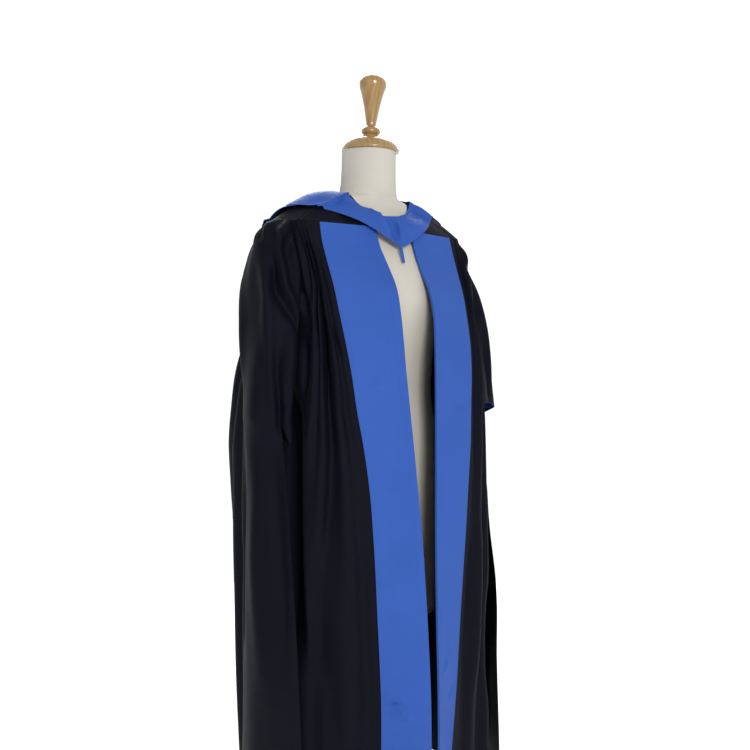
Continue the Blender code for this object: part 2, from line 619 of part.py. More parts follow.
def sleeve_normals(grid, first, last):
    """Unit normals of a sleeve, which follow the cloth's own side along the two edges of its opening."""
    normal = normals_of(grid, closed=True)
    tube = slice(0, SLEEVE_ROWS - 1)
    middle = grid[tube].reshape(-1, 3).mean(axis=0)
    sense = 1.0 if np.sum((grid[tube] - middle) * normal[tube]) > 0 else -1.0
    normal *= sense
    down = np.gradient(grid, axis=0)
    for i in range(SLEEVE_ROWS - 1, len(grid)):
        for j, near, turn in ((first, first - 1, -sense), (last, last + 1, sense)):
            run = turn * np.cross(grid[i, near] - grid[i, j], down[i, j])
            normal[i, j] = run / np.linalg.norm(run)
    return normal


def open_sleeve_line(side, place, opening, elbow):
    """The lower part of one of a sleeve's lines, from its place at the elbow down to the sleeve's foot."""
    knots = (-opening[0], 0.0, 0.125, 0.25, 0.375, 0.5, 1 - opening[1])
    back_way = -place if place <= opening[0] else 1 - place
    path = [elbow]
    for height, *round_it in OPEN_SLEEVE_LEVELS:
        out, fwd = through(knots, round_it, back_way)[0]
        path.append(np.array([side * out, -fwd, height]))
    heights = np.linspace(elbow[2], path[-1][2], OPEN_SLEEVE_ROWS + 1)[1:]
    return through([-point[2] for point in path], path, -heights)


def sleeve(side):
    """Points and normals of a sleeve: gathered round its head, closed to the elbow, and open in front below."""
    lines, opening = (RIGHT_SLEEVE_LINES, RIGHT_OPENING) if side < 0 else (LEFT_SLEEVE_LINES, LEFT_OPENING)
    first, last = (round(SLEEVE_COLUMNS_ROUND * share) for share in opening)
    places = np.arange(SLEEVE_COLUMNS_ROUND) / SLEEVE_COLUMNS_ROUND
    ring = armhole_ring(side, places)
    ring[:, 0] += side * SLEEVE_GAP
    table = round_table(lines, places)
    turn = np.array([side, -1.0, 1.0])
    elbow, start, lean = (table[:, n:n + 3] * turn for n in (0, 3, 6))
    grid = np.zeros((SLEEVE_ROWS + OPEN_SLEEVE_ROWS, SLEEVE_COLUMNS_ROUND, 3))
    for i, t in enumerate(np.linspace(0.0, 1.0, SLEEVE_ROWS) ** SLEEVE_ROW_GROWTH):
        grid[i] = (
            (2 * t**3 - 3 * t**2 + 1) * ring + (t**3 - 2 * t**2 + t) * start
            + (3 * t**2 - 2 * t**3) * elbow + (t**3 - t**2) * lean
        )
    for j, place in enumerate(places):
        hangs = not first < j < last
        grid[SLEEVE_ROWS:, j] = open_sleeve_line(side, place, opening, elbow[j]) if hangs else elbow[j]
    normal = sleeve_normals(grid, first, last)
    for i, share in enumerate(np.linspace(0.0, 1.0, SLEEVE_ROWS)):
        depth = GATHER_DEPTH * (1.0 - ramp(share, 0.0, GATHER_REACH)) * ramp(share, -0.05, 0.12)
        head = np.sqrt(np.maximum(0.0, np.cos(2 * math.pi * places)))
        wave = depth * head * np.cos(2 * math.pi * SLEEVE_GATHERS * places)
        grid[i] += normal[i] * wave[:, None]

    def kept(i, j):
        return i < SLEEVE_ROWS - 1 or not first <= j < last

    return grid, normal, kept, last


def sleeve_lining(name, grid, normal, last, finish):
    """A satin facing inside the sleeve, along the upper edge of its opening, which ends at the last column."""
    columns = [j % SLEEVE_COLUMNS_ROUND for j in range(-1, last - 1)]
    rows = slice(SLEEVE_ROWS - CUFF_LINING_ROWS, SLEEVE_ROWS)
    cloth, away = grid[rows][:, columns], normal[rows][:, columns]
    outer = cloth - away * (BLACK_CLOTH + SEAM_GAP)
    return wall(name, outer, outer - away * SATIN, finish)


def hood_point(girth, reach):
    """A point on the gown's smooth surface, reach metres from the neckline, over the yoke and down the body."""
    side = -1 if girth <= CENTRE_BACK else 1
    where = min(girth, 2 - girth)
    neck, seam = yoke_point(side, where, 0.0), yoke_point(side, where, 1.0)
    length = np.linalg.norm(seam - neck) * YOKE_ARC
    if reach <= length:
        place = yoke_point(side, where, reach / length)
        if reach < 0:
            place = neck + np.array([neck[0] * HOOD_STAND, neck[1] * HOOD_STAND, -reach])
        return place
    return body_point(side, where, seam[2] - (reach - length), folded=False)


def hood_grid(start_column, reach_column, rows, columns):
    knots = [row[0] for row in HOOD_REACH]
    table = through(knots, [(row[start_column], row[reach_column]) for row in HOOD_REACH],
                    [min(g, 2 - g) for g in np.linspace(knots[0], 2 - knots[0], columns)])
    grid = np.zeros((rows, columns, 3))
    reaches = np.zeros((rows, columns))
    for j, girth in enumerate(np.linspace(knots[0], 2 - knots[0], columns)):
        reaches[:, j] = np.linspace(table[j, 0], table[j, 1], rows)
        for i in range(rows):
            grid[i, j] = hood_point(girth, reaches[i, j])
    return grid, reaches, outward(grid, normals_of(grid))


def hood(under, shell_finish, lining_finish):
    """The hood's black shell, and its blue lining turned out over it. under lists the surfaces it lies on."""
    shell, reaches, normal = hood_grid(1, 2, SHELL_ROWS, SHELL_COLUMNS)
    lift = HOOD_REST + HOOD_CLEAR * ramp(reaches, HOOD_CLEAR_FROM, HOOD_CLEAR_FULL)
    shell = shell + normal * (lift + BLACK_CLOTH)[..., None]
    shell = lifted_clear(shell, under, BLACK_CLOTH + CLOTH_REST)
    normal = outward(shell, normals_of(shell))
    wall("hood_shell", shell, shell - normal * BLACK_CLOTH, shell_finish)
    under = [*under, surface_of(shell, normal)]

    lining, reaches, normal = hood_grid(3, 4, LINING_ROWS, LINING_COLUMNS)
    share = np.linspace(0.0, 1.0, LINING_ROWS)[:, None]
    puff = LINING_PUFF * np.sin(math.pi * share ** LINING_PUFF_LEAN)
    lift = HOOD_REST + HOOD_CLEAR * ramp(reaches, HOOD_CLEAR_FROM, HOOD_CLEAR_FULL) + BLACK_CLOTH
    lift += LINING_REST + puff + SATIN
    lining = lining + normal * lift[..., None]
    lining = lifted_clear(lining, under, SATIN + CLOTH_REST)
    normal = outward(lining, normals_of(lining))
    wall("hood_lining", lining, lining - normal * SATIN, lining_finish)
    return [*under, surface_of(lining, normal)]


def hood_band(under, finish):
    """The neckband, which crosses the chest in a soft point, over the surfaces that under lists."""
    last = len(BAND_STATIONS) - 1
    table = through(range(last + 1), BAND_STATIONS, np.linspace(0, last, BAND_COLUMNS))
    grid = np.zeros((BAND_ROWS, BAND_COLUMNS, 3))
    for i, share in enumerate(np.linspace(0.0, 1.0, BAND_ROWS)):
        top = table[:, :3] * np.array([1.0, -1.0, 1.0])
        low = table[:, 3:6] * np.array([1.0, -1.0, 1.0])
        swell = table[:, 6] * math.sin(math.pi * share)
        grid[i] = top + (low - top) * share
        grid[i, :, 1] -= swell * BAND_SWELL_FORWARD
        grid[i, :, 2] += swell * BAND_SWELL_UP
    grid = lifted_clear(grid, under, SATIN + BAND_REST)
    normal = levelled(outward(grid, normals_of(grid)), -1)
    wall("hood_neckband", grid, grid - normal * SATIN, finish)
    return grid[-1, BAND_POINT * (BAND_COLUMNS - 1) // last]


def loop(point, finish):
    """A narrow loop that hangs from the neckband's point, as one folded strip."""
    top = point - np.array([0.0, 0.0, SEAM_GAP])
    shares, places = np.linspace(0.0, 1.0, LOOP_ROWS), (-0.5, 0.0, 0.5)
    grid = np.zeros((LOOP_ROWS, len(places), 3))
    for i, share in enumerate(shares):
        for j, place in enumerate(places):
            grid[i, j] = top + np.array([LOOP_WIDTH * place, -LOOP_FORWARD * share, -LOOP_LENGTH * share])
    back = grid + np.array([0.0, LOOP_THICKNESS, 0.0])
    return wall("hood_loop", grid, back, finish)


def dress_form(jersey, wood, metal):
    angles = [2 * math.pi * i / FORM_SIDES for i in range(FORM_SIDES)]
    points = []
    for height, half_width, front, back in FORM_LEVELS:
        for angle in angles:
            depth = front if math.sin(angle) < 0 else back
            x, y = half_width * math.cos(angle), depth * math.sin(angle)
            tilt = -(-y - NECK_FORWARD) * math.tan(NECK_TILT) * ramp(height, TILT_START, FORM_LEVELS[-1][0])
            points.append((x, y, height + tilt))
    faces = [tuple(reversed(range(FORM_SIDES)))]
    for n in range(len(FORM_LEVELS) - 1):
        for i in range(FORM_SIDES):
            k = (i + 1) % FORM_SIDES
            a, b = n * FORM_SIDES + i, n * FORM_SIDES + k
            faces.append((a, b, b + FORM_SIDES, a + FORM_SIDES))
    top = (len(FORM_LEVELS) - 1) * FORM_SIDES
    faces.append(tuple(range(top, top + FORM_SIDES)))
    torso = mesh_object("form_torso", points, faces, jersey)
    for name, profile in (("form_neck_cap", CAP_PROFILE), ("form_finial", KNOB_PROFILE)):
        turned = lathe(name, profile, TURNED_SIDES, wood)
        turned.location = (0.0, -NECK_FORWARD, FORM_LEVELS[-1][0] + SEAM_GAP)
        turned.rotation_euler = (NECK_TILT, 0.0, 0.0)
    foot = BASE_PROFILE[-1][1] + SEAM_GAP
    lathe("form_base", BASE_PROFILE, TURNED_SIDES * 2, wood)
    head = FORM_LEVELS[0][0] - SEAM_GAP
    lathe("form_pole", ((0.0, foot), (POLE_RADIUS, foot), (POLE_RADIUS, head), (0.0, head)), TURNED_SIDES, metal)
    sides = [tuple(face.vertices) for face in torso.data.polygons]
    return BVHTree.FromPolygons([vertex.co for vertex in torso.data.vertices], sides)


def main():
    for old in list(bpy.data.objects):
        bpy.data.objects.remove(old)
    black = material("black_cloth", BLACK, 0.8)
    satin = material("blue_satin", BLUE, 0.42)
    jersey = material("cream_jersey", JERSEY, 0.85)
    wood = material("lacquered_wood", BEECH, 0.25)
    metal = material("steel", STEEL, 0.35, 1.0)

    form = dress_form(jersey, wood, metal)
    for side, word in ((-1, "right"), (1, "left")):
        grid, normal = front_panel(side)
        wall(f"front_{word}", grid, grid - normal * BLACK_CLOTH, black)
        facing(f"facing_{word}", grid, normal, satin)
        grid, normal, kept, last = sleeve(side)
        wall(f"sleeve_{word}", grid, grid - normal * BLACK_CLOTH, black, closed=True, kept=kept)
        sleeve_lining(f"sleeve_lining_{word}", grid, normal, last, satin)
    grid, normal = back_panel()
    wall("back", grid, grid - normal * BLACK_CLOTH, black)
    under = [form, surface_of(grid, normal)]
    grid, normal = yoke(form)
    wall("yoke", grid, grid - normal * BLACK_CLOTH, black)
    under = hood([*under, surface_of(grid, normal)], black, satin)
    point = hood_band(under, satin)
    loop(point, satin)


main()
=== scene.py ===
import math
import bpy
import numpy as np
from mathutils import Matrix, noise
from mathutils.bvhtree import BVHTree


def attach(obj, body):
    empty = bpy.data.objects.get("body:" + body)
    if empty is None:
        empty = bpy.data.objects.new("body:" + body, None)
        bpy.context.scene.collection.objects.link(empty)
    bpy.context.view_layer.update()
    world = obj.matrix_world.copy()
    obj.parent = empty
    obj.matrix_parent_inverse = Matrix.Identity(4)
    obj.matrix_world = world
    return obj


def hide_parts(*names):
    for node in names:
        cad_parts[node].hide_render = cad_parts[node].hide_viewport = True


# A graduation gown with its hood on a limbless dress form. Metres, +Z up, the gown's front faces -Y,
# and the wearer's left is +X.
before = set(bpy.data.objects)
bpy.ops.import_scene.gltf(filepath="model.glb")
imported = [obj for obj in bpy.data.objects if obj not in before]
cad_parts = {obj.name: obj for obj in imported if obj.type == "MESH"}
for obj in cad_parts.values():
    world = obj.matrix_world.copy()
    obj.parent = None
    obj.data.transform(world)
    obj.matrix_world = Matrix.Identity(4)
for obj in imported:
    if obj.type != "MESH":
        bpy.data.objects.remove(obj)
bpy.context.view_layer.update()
bpy.ops.object.select_all(action="DESELECT")
print("frame loaded:", len(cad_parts), "nodes")


# Curves and cloth walls, used by every piece.
clothBuild = {
    # a crease fades out over this share of its ends, by this power
    "creaseEnds": 0.02, "creaseFade": 0.6,
    # the swell of the cloth is drawn out downwards, and differs between the two sides
    "swellDown": 0.35, "panelShift": {"right": 0.0, "left": 7.0}, "sleeveShift": {"right": 0.0, "left": 3.0},
    "sharpDegrees": 55.0,
}


def readCurve(knots, rows, places):
    # rows of numbers at knots, joined by one smooth curve and read at the given places
    knots, rows = np.asarray(knots, float), np.asarray(rows, float)
    places = np.asarray(places, float).ravel()
    steps = np.diff(knots)[:, None]
    slopes = np.diff(rows, axis=0) / steps
    tangents = np.empty_like(rows)
    tangents[0], tangents[-1] = slopes[0], slopes[-1]
    tangents[1:-1] = (slopes[:-1] * steps[1:] + slopes[1:] * steps[:-1]) / (steps[:-1] + steps[1:])
    left = np.clip(np.searchsorted(knots, places, side="right") - 1, 0, len(knots) - 2)
    width = steps[left]
    t = (places - knots[left])[:, None] / width
    return ((2 * t**3 - 3 * t**2 + 1) * rows[left] + (t**3 - 2 * t**2 + t) * width * tangents[left]
            + (3 * t**2 - 2 * t**3) * rows[left + 1] + (t**3 - t**2) * width * tangents[left + 1])


def knotShares(knots, places):
    # how much of each knot a place on the curve takes
    return readCurve(knots, np.eye(len(knots)), places)


def ramp(value, start, end):
    share = np.clip((value - start) / (end - start), 0.0, 1.0)
    return share * share * (3 - 2 * share)


def unit(vectors, least=1e-9):
    return vectors / np.maximum(np.linalg.norm(vectors, axis=-1, keepdims=True), least)


def gridNormals(grid, closed=False):
    down = np.gradient(grid, axis=0)
    if closed:
        across = (np.roll(grid, -1, axis=1) - np.roll(grid, 1, axis=1)) / 2
    else:
        across = np.gradient(grid, axis=1)
    return unit(np.cross(across, down))


def turnedOut(grid, normal):
    middle = grid.reshape(-1, 3).mean(axis=0)
    return normal if np.sum((grid - middle) * normal) > 0 else -normal


def levelRow(normal, row):
    # one row's normals turned level, so that the seam along it has a flat edge
    normal = normal.copy()
    normal[row, :, 2] = 0.0
    normal[row] = unit(normal[row])
    return normal


def lengthsAlong(grid, axis):
    # metres along the cloth from the first row or column, for its weave
    steps = np.linalg.norm(np.diff(grid, axis=axis), axis=2)
    pad = [(1, 0), (0, 0)] if axis == 0 else [(0, 0), (1, 0)]
    return np.pad(np.cumsum(steps, axis=axis), pad)


def clothPiece(name, outer, inner, finish, node, closed=False, hangs=None, crossed=0):
    # one closed sheet between two grids of points. hangs marks the cells that hold cloth, and the first
    # columns that crossed counts are split the other way
    rows, columns = outer.shape[:2]
    last = columns if closed else columns - 1
    i, j = np.meshgrid(np.arange(rows - 1), np.arange(last), indexing="ij")
    keep = np.ones(i.shape, bool) if hangs is None else hangs(i, j)
    i, j = i[keep], j[keep]
    k = (j + 1) % columns
    a, b, c, d = i * columns + j, i * columns + k, (i + 1) * columns + k, (i + 1) * columns + j
    other = (j < crossed)[:, None]
    first = np.where(other, np.stack([a, b, d], 1), np.stack([a, b, c], 1))
    second = np.where(other, np.stack([b, c, d], 1), np.stack([a, c, d], 1))
    inside = rows * columns
    front = np.concatenate([first, second])
    edges = {}
    for quad in np.stack([a, b, c, d], 1).tolist():
        for n in range(4):
            edges[(quad[n], quad[(n + 1) % 4])] = True
    rim = [(q, p, inside + p, inside + q) for p, q in edges if (q, p) not in edges]
    points = np.concatenate([outer.reshape(-1, 3), inner.reshape(-1, 3)])
    faces = front.tolist() + (front[:, ::-1] + inside).tolist() + rim
    used = np.unique(np.concatenate([front.ravel(), front.ravel() + inside]))
    place = np.zeros(len(points), int)
    place[used] = np.arange(len(used))
    faces = [[int(place[p]) for p in face] for face in faces]
    corners = points[front]
    sense = np.sum(np.cross(corners[:, 1] - corners[:, 0], corners[:, 2] - corners[:, 0])
                   * (outer - inner).reshape(-1, 3)[front[:, 0]])
    if sense < 0:
        faces = [face[::-1] for face in faces]
    mesh = bpy.data.meshes.new(name)
    mesh.from_pydata(points[used].tolist(), [], faces)
    weave = mesh.uv_layers.new(name="weave")
    alongAcross = np.stack([lengthsAlong(outer, 1), lengthsAlong(outer, 0)], axis=2).reshape(-1, 2)
    both = np.concatenate([alongAcross, alongAcross])[used]
    corner = np.zeros(len(mesh.loops), int)
    mesh.loops.foreach_get("vertex_index", corner)
    weave.data.foreach_set("uv", both[corner].ravel())
    return finishPiece(name, mesh, finish, node)


def finishPiece(name, mesh, finish, node):
    mesh.materials.clear()
    mesh.materials.append(finish)
    mesh.shade_smooth()
    mesh.set_sharp_from_angle(angle=math.radians(clothBuild["sharpDegrees"]))
    made = bpy.data.objects.new(name, mesh)
    bpy.context.scene.collection.objects.link(made)
    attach(made, "root")
    if node:
        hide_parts(node)
    return made


def faceOf(grid, normal):
    # the outer face of a sheet, to measure from
    rows, columns = grid.shape[:2]
    i, j = (n.ravel() for n in np.meshgrid(np.arange(rows - 1), np.arange(columns - 1), indexing="ij"))
    a, b, c, d = i * columns + j, i * columns + j + 1, (i + 1) * columns + j + 1, (i + 1) * columns + j
    faces = np.concatenate([np.stack([a, b, c], 1), np.stack([a, c, d], 1)])
    points = grid.reshape(-1, 3)
    p, q, r = (points[faces[:, n]] for n in range(3))
    if np.sum(np.cross(q - p, r - p) * normal.reshape(-1, 3)[faces[:, 0]]) < 0:
        faces = faces[:, ::-1]
    return BVHTree.FromPolygons(points.tolist(), faces.tolist())


def liftClear(grid, faces, distance, rounds=3, reach=0.03):
    # the points of a grid, lifted until they stand at least distance above each face
    lifted = grid.copy()
    flat = lifted.reshape(-1, 3)
    for _ in range(rounds):
        for n in range(len(flat)):
            for face in faces:
                found, away, _index, gap = face.find_nearest(flat[n].tolist())
                lack = distance - np.dot(flat[n] - np.array(found), np.array(away))
                if gap < reach and lack > 0:
                    flat[n] += np.array(away) * lack
    return lifted


def softNoise(places, size, depth):
    # uneven swell of the cloth, the same in each run. places is an array of points
    flat = (places.reshape(-1, places.shape[-1]) / size).tolist()
    return np.array([noise.noise(p if len(p) == 3 else (p[0], p[1], 0.0)) for p in flat]).reshape(
        places.shape[:-1]) * depth


def creasePush(creases, across, height):
    # soft troughs and ridges: each has its line through (across, height) points, its width and its depth
    push = np.zeros_like(height)
    ends = clothBuild["creaseEnds"]
    for line, width, depth in creases:
        line = np.array(line, float)
        best = np.full(height.shape, np.inf)
        along = np.zeros_like(height)
        steps = np.linalg.norm(np.diff(line, axis=0), axis=1)
        starts = np.concatenate([[0.0], np.cumsum(steps)])
        for n in range(len(line) - 1):
            run = line[n + 1] - line[n]
            t = ((across - line[n, 0]) * run[0] + (height - line[n, 1]) * run[1]) / steps[n] ** 2
            t = np.clip(t, 0.0, 1.0)
            away = np.hypot(across - line[n, 0] - run[0] * t, height - line[n, 1] - run[1] * t)
            closer = away < best
            best = np.where(closer, away, best)
            along = np.where(closer, (starts[n] + t * steps[n]) / starts[-1], along)
        taper = np.sin(math.pi * np.clip(along, ends, 1 - ends)) ** clothBuild["creaseFade"]
        push += depth * taper * np.exp(-((best / width) ** 2))
    return push


# The gown's body.
gownBody = {
    "hem": 0.21, "armpit": 1.205, "armholeTop": 1.446, "seamGap": 0.0003, "blackThickness": 0.0013,
    "satinThickness": 0.001, "facingReturn": 0.015, "facingEdge": 0.15, "sideSeam": 0.49,
    "armholeFront": 0.105, "armholeRear": 0.095, "girthMetres": 0.6, "girthStep": 0.004, "sewnDepth": 0.1,
    # girth runs from 0 at the front edge, round one side, to 1 at the centre back
    "girthKnots": (0.0, 0.15, 0.37, 0.49, 0.69, 1.0, 1.31),
    # height, front edge out and forward, facing out and forward, front corner out and forward, side out,
    # rear corner out and back, centre back
    "levels": (
        (1.448, 0.0505, 0.0945, 0.178, 0.074, 0.228, 0.044, 0.246, 0.214, 0.066, 0.102),
        (1.4, 0.049, 0.108, 0.18, 0.087, 0.222, 0.064, 0.246, 0.209, 0.083, 0.115),
        (1.363, 0.046, 0.128, 0.179, 0.101, 0.217, 0.076, 0.245, 0.206, 0.092, 0.123),
        (1.308, 0.046, 0.1605, 0.177, 0.123, 0.215, 0.088, 0.24, 0.212, 0.11, 0.138),
        (1.252, 0.0467, 0.1755, 0.174, 0.139, 0.218, 0.093, 0.238, 0.222, 0.125, 0.152),
        (1.197, 0.0445, 0.181, 0.17, 0.153, 0.222, 0.098, 0.238, 0.232, 0.134, 0.164),
        (1.141, 0.042, 0.185, 0.164, 0.163, 0.228, 0.101, 0.241, 0.243, 0.141, 0.174),
        (1.06, 0.037, 0.1915, 0.155, 0.171, 0.234, 0.104, 0.246, 0.252, 0.146, 0.188),
        (0.985, 0.032, 0.1975, 0.145, 0.18, 0.238, 0.105, 0.25, 0.257, 0.15, 0.2),
        (0.9, 0.0265, 0.2035, 0.134, 0.185, 0.244, 0.105, 0.254, 0.256, 0.148, 0.208),
        (0.8, 0.0205, 0.21, 0.125, 0.186, 0.25, 0.107, 0.258, 0.254, 0.146, 0.214),
        (0.65, 0.0153, 0.219, 0.114, 0.184, 0.256, 0.109, 0.262, 0.248, 0.142, 0.222),
        (0.474, 0.012, 0.227, 0.102, 0.181, 0.256, 0.112, 0.264, 0.241, 0.139, 0.229),
        (0.31, 0.0115, 0.229, 0.095, 0.172, 0.257, 0.114, 0.266, 0.232, 0.133, 0.233),
        (0.21, 0.011, 0.23, 0.092, 0.17, 0.258, 0.115, 0.267, 0.228, 0.131, 0.235),
    ),
    # the yoke's neckline at the girth's knots: out, forward, height; and the height of its lower seam
    "neckline": (
        (0.058, 0.075, 1.478),
        (0.071, 0.048, 1.499),
        (0.0765, 0.012, 1.5185),
        (0.075, -0.012, 1.5235),
        (0.058, -0.042, 1.528),
        (0.0, -0.06, 1.5285),
        (-0.058, -0.042, 1.528),
    ),
    "seamHeights": (1.4423, 1.4423, 1.4445, 1.446, 1.41, 1.382, 1.41),
    "yokeRoundness": (1.15, 1.3, 1.8, 1.8, 1.4, 1.15, 1.4),
}
# Finishes.
def newFinish(name, colour, roughness):
    finish = bpy.data.materials.new(name)
    finish.use_nodes = True
    shader = finish.node_tree.nodes["Principled BSDF"]
    shader.inputs["Base Color"].default_value = (*colour, 1.0)
    shader.inputs["Roughness"].default_value = roughness
    return finish, finish.node_tree, shader


def addNode(tree, kind, values=None, **settings):
    node = tree.nodes.new(kind)
    for key, value in settings.items():
        setattr(node, key, value)
    for key, value in (values or {}).items():
        node.inputs[key].default_value = value
    return node


def colourRange(tree, factor, darker, lighter):
    # two colours, mixed by a pattern
    mix = addNode(tree, "ShaderNodeMix", data_type="RGBA")
    mix.inputs["A"].default_value = (*darker, 1.0)
    mix.inputs["B"].default_value = (*lighter, 1.0)
    tree.links.new(factor, mix.inputs["Factor"])
    return mix.outputs["Result"]


weave = {"waveMetres": 0.314, "roughnessLess": 0.05, "roughnessMore": 0.06, "crumpleDepth": 0.004}


def wovenFinish(name, look):
    # a woven cloth: warp and weft threads along the cloth's own lengths, over a soft unevenness
    finish, tree, shader = newFinish(name, look["colour"], look["roughness"])
    shader.inputs["Sheen Weight"].default_value = look["sheen"]
    shader.inputs["Sheen Roughness"].default_value = look["sheenRoughness"]
    shader.inputs["Sheen Tint"].default_value = (*look["sheenTint"], 1.0)
    shader.inputs["Specular IOR Level"].default_value = look["specular"]
    shader.inputs["Specular Tint"].default_value = (*look["specularTint"], 1.0)
    threads = addNode(tree, "ShaderNodeUVMap", uv_map="weave")
    where = addNode(tree, "ShaderNodeTexCoord")
    patterns = []
    for direction, pitch in (("X", look["warp"]), ("Y", look["weft"])):
        wave = addNode(tree, "ShaderNodeTexWave", {
            "Scale": weave["waveMetres"] / pitch, "Distortion": 0.6, "Detail": 1.0, "Detail Scale": 2.0},
                       bands_direction=direction)
        tree.links.new(threads.outputs["UV"], wave.inputs["Vector"])
        patterns.append(wave.outputs["Fac"])
    crossing = addNode(tree, "ShaderNodeMath", operation="MULTIPLY")
    tree.links.new(patterns[0], crossing.inputs[0])
    tree.links.new(patterns[1], crossing.inputs[1])
    uneven = addNode(tree, "ShaderNodeTexNoise", {
        "Scale": look["unevenScale"], "Detail": 5.0, "Roughness": 0.6})
    tree.links.new(where.outputs["Object"], uneven.inputs["Vector"])
    tree.links.new(colourRange(tree, uneven.outputs["Fac"], look["darker"], look["lighter"]),
                   shader.inputs["Base Color"])
    shine = addNode(tree, "ShaderNodeMapRange", {"To Min": look["roughness"] - weave["roughnessLess"],
                                                 "To Max": look["roughness"] + weave["roughnessMore"]})
    tree.links.new(uneven.outputs["Fac"], shine.inputs["Value"])
    tree.links.new(shine.outputs["Result"], shader.inputs["Roughness"])
    bump = addNode(tree, "ShaderNodeBump", {
        "Strength": look["weaveStrength"], "Distance": look["weaveDepth"]})
    tree.links.new(crossing.outputs["Value"], bump.inputs["Height"])
    soft = addNode(tree, "ShaderNodeTexNoise", {
        "Scale": look["crumpleScale"], "Detail": 3.0, "Roughness": 0.5})
    tree.links.new(where.outputs["Object"], soft.inputs["Vector"])
    crumple = addNode(tree, "ShaderNodeBump", {
        "Strength": look["crumpleStrength"], "Distance": weave["crumpleDepth"]})
    tree.links.new(soft.outputs["Fac"], crumple.inputs["Height"])
    tree.links.new(bump.outputs["Normal"], crumple.inputs["Normal"])
    tree.links.new(crumple.outputs["Normal"], shader.inputs["Normal"])
    return finish


def woodFinish(name, look):
    # straight-grained light wood under clear lacquer
    finish, tree, shader = newFinish(name, look["lighter"], look["roughness"])
    shader.inputs["Coat Weight"].default_value = look["coat"]
    shader.inputs["Coat Roughness"].default_value = look["coatRoughness"]
    where = addNode(tree, "ShaderNodeTexCoord")
    turn = addNode(tree, "ShaderNodeMapping", {"Scale": look["grainScale"]})
    tree.links.new(where.outputs["Object"], turn.inputs["Vector"])
    grain = addNode(tree, "ShaderNodeTexNoise", {
        "Scale": 9.0, "Detail": 6.0, "Roughness": 0.65, "Distortion": 0.4})
    tree.links.new(turn.outputs["Vector"], grain.inputs["Vector"])
    rings = addNode(tree, "ShaderNodeTexWave", {
        "Scale": 5.0, "Distortion": 5.0, "Detail": 3.0, "Detail Scale": 1.2}, bands_direction="X")
    tree.links.new(turn.outputs["Vector"], rings.inputs["Vector"])
    both = addNode(tree, "ShaderNodeMath", {1: look["ringShare"]}, operation="MULTIPLY_ADD")
    tree.links.new(rings.outputs["Fac"], both.inputs[0])
    spread = addNode(tree, "ShaderNodeMath", {1: look["grainShare"]}, operation="MULTIPLY")
    tree.links.new(grain.outputs["Fac"], spread.inputs[0])
    tree.links.new(spread.outputs["Value"], both.inputs[2])
    tree.links.new(colourRange(tree, both.outputs["Value"], look["darker"], look["lighter"]),
                   shader.inputs["Base Color"])
    bump = addNode(tree, "ShaderNodeBump", {"Strength": 0.12, "Distance": 0.0005})
    tree.links.new(grain.outputs["Fac"], bump.inputs["Height"])
    tree.links.new(bump.outputs["Normal"], shader.inputs["Normal"])
    return finish


def steelFinish(name, look):
    finish, tree, shader = newFinish(name, look["colour"], look["roughness"])
    shader.inputs["Metallic"].default_value = 1.0
    where = addNode(tree, "ShaderNodeTexCoord")
    stretch = addNode(tree, "ShaderNodeMapping", {"Scale": (400.0, 400.0, 12.0)})
    tree.links.new(where.outputs["Object"], stretch.inputs["Vector"])
    brushed = addNode(tree, "ShaderNodeTexNoise", {"Scale": 1.0, "Detail": 4.0})
    tree.links.new(stretch.outputs["Vector"], brushed.inputs["Vector"])
    shine = addNode(tree, "ShaderNodeMapRange", {"To Min": look["roughness"] - look["roughnessLess"],
                                                 "To Max": look["roughness"] + look["roughnessMore"]})
    tree.links.new(brushed.outputs["Fac"], shine.inputs["Value"])
    tree.links.new(shine.outputs["Result"], shader.inputs["Roughness"])
    return finish


def threadFinish(name, colour):
    # twisted thread
    finish, tree, shader = newFinish(name, colour, threadLook["roughness"])
    where = addNode(tree, "ShaderNodeTexCoord")
    twist = addNode(tree, "ShaderNodeTexNoise", {"Scale": 900.0, "Detail": 2.0})
    tree.links.new(where.outputs["Object"], twist.inputs["Vector"])
    tree.links.new(colourRange(tree, twist.outputs["Fac"], [c * threadLook["darker"] for c in colour],
                               [c * threadLook["lighter"] for c in colour]), shader.inputs["Base Color"])
    return finish


blackClothLook = {
    "colour": (0.0034, 0.0036, 0.0066), "darker": (0.0027, 0.0028, 0.0054),
    "lighter": (0.0043, 0.0045, 0.008),
    "roughness": 0.6, "specular": 0.1, "specularTint": (0.64, 0.71, 1.0),
    "sheen": 0.008, "sheenRoughness": 0.35, "sheenTint": (0.55, 0.62, 0.85),
    "warp": 0.0008, "weft": 0.0009, "weaveStrength": 0.35, "weaveDepth": 0.0004, "unevenScale": 14.0,
    "crumpleScale": 22.0, "crumpleStrength": 0.1,
}
satinLook = {
    "colour": (0.037, 0.099, 0.39), "darker": (0.032, 0.089, 0.362), "lighter": (0.042, 0.109, 0.418),
    "roughness": 0.54, "specular": 0.05, "specularTint": (0.5, 0.7, 1.0),
    "sheen": 0.008, "sheenRoughness": 0.4, "sheenTint": (0.5, 0.65, 1.0),
    "warp": 0.0006, "weft": 0.0011, "weaveStrength": 0.22, "weaveDepth": 0.0003, "unevenScale": 9.0,
    "crumpleScale": 16.0, "crumpleStrength": 0.12,
}
jerseyLook = {
    "colour": (0.545, 0.515, 0.455), "darker": (0.52, 0.495, 0.437), "lighter": (0.57, 0.54, 0.475),
    "roughness": 0.88, "specular": 0.2, "specularTint": (1.0, 1.0, 1.0),
    "sheen": 0.05, "sheenRoughness": 0.5, "sheenTint": (1.0, 0.98, 0.94),
    "warp": 0.0012, "weft": 0.001, "weaveStrength": 0.25, "weaveDepth": 0.0004, "unevenScale": 12.0,
    "crumpleScale": 30.0, "crumpleStrength": 0.03,
}
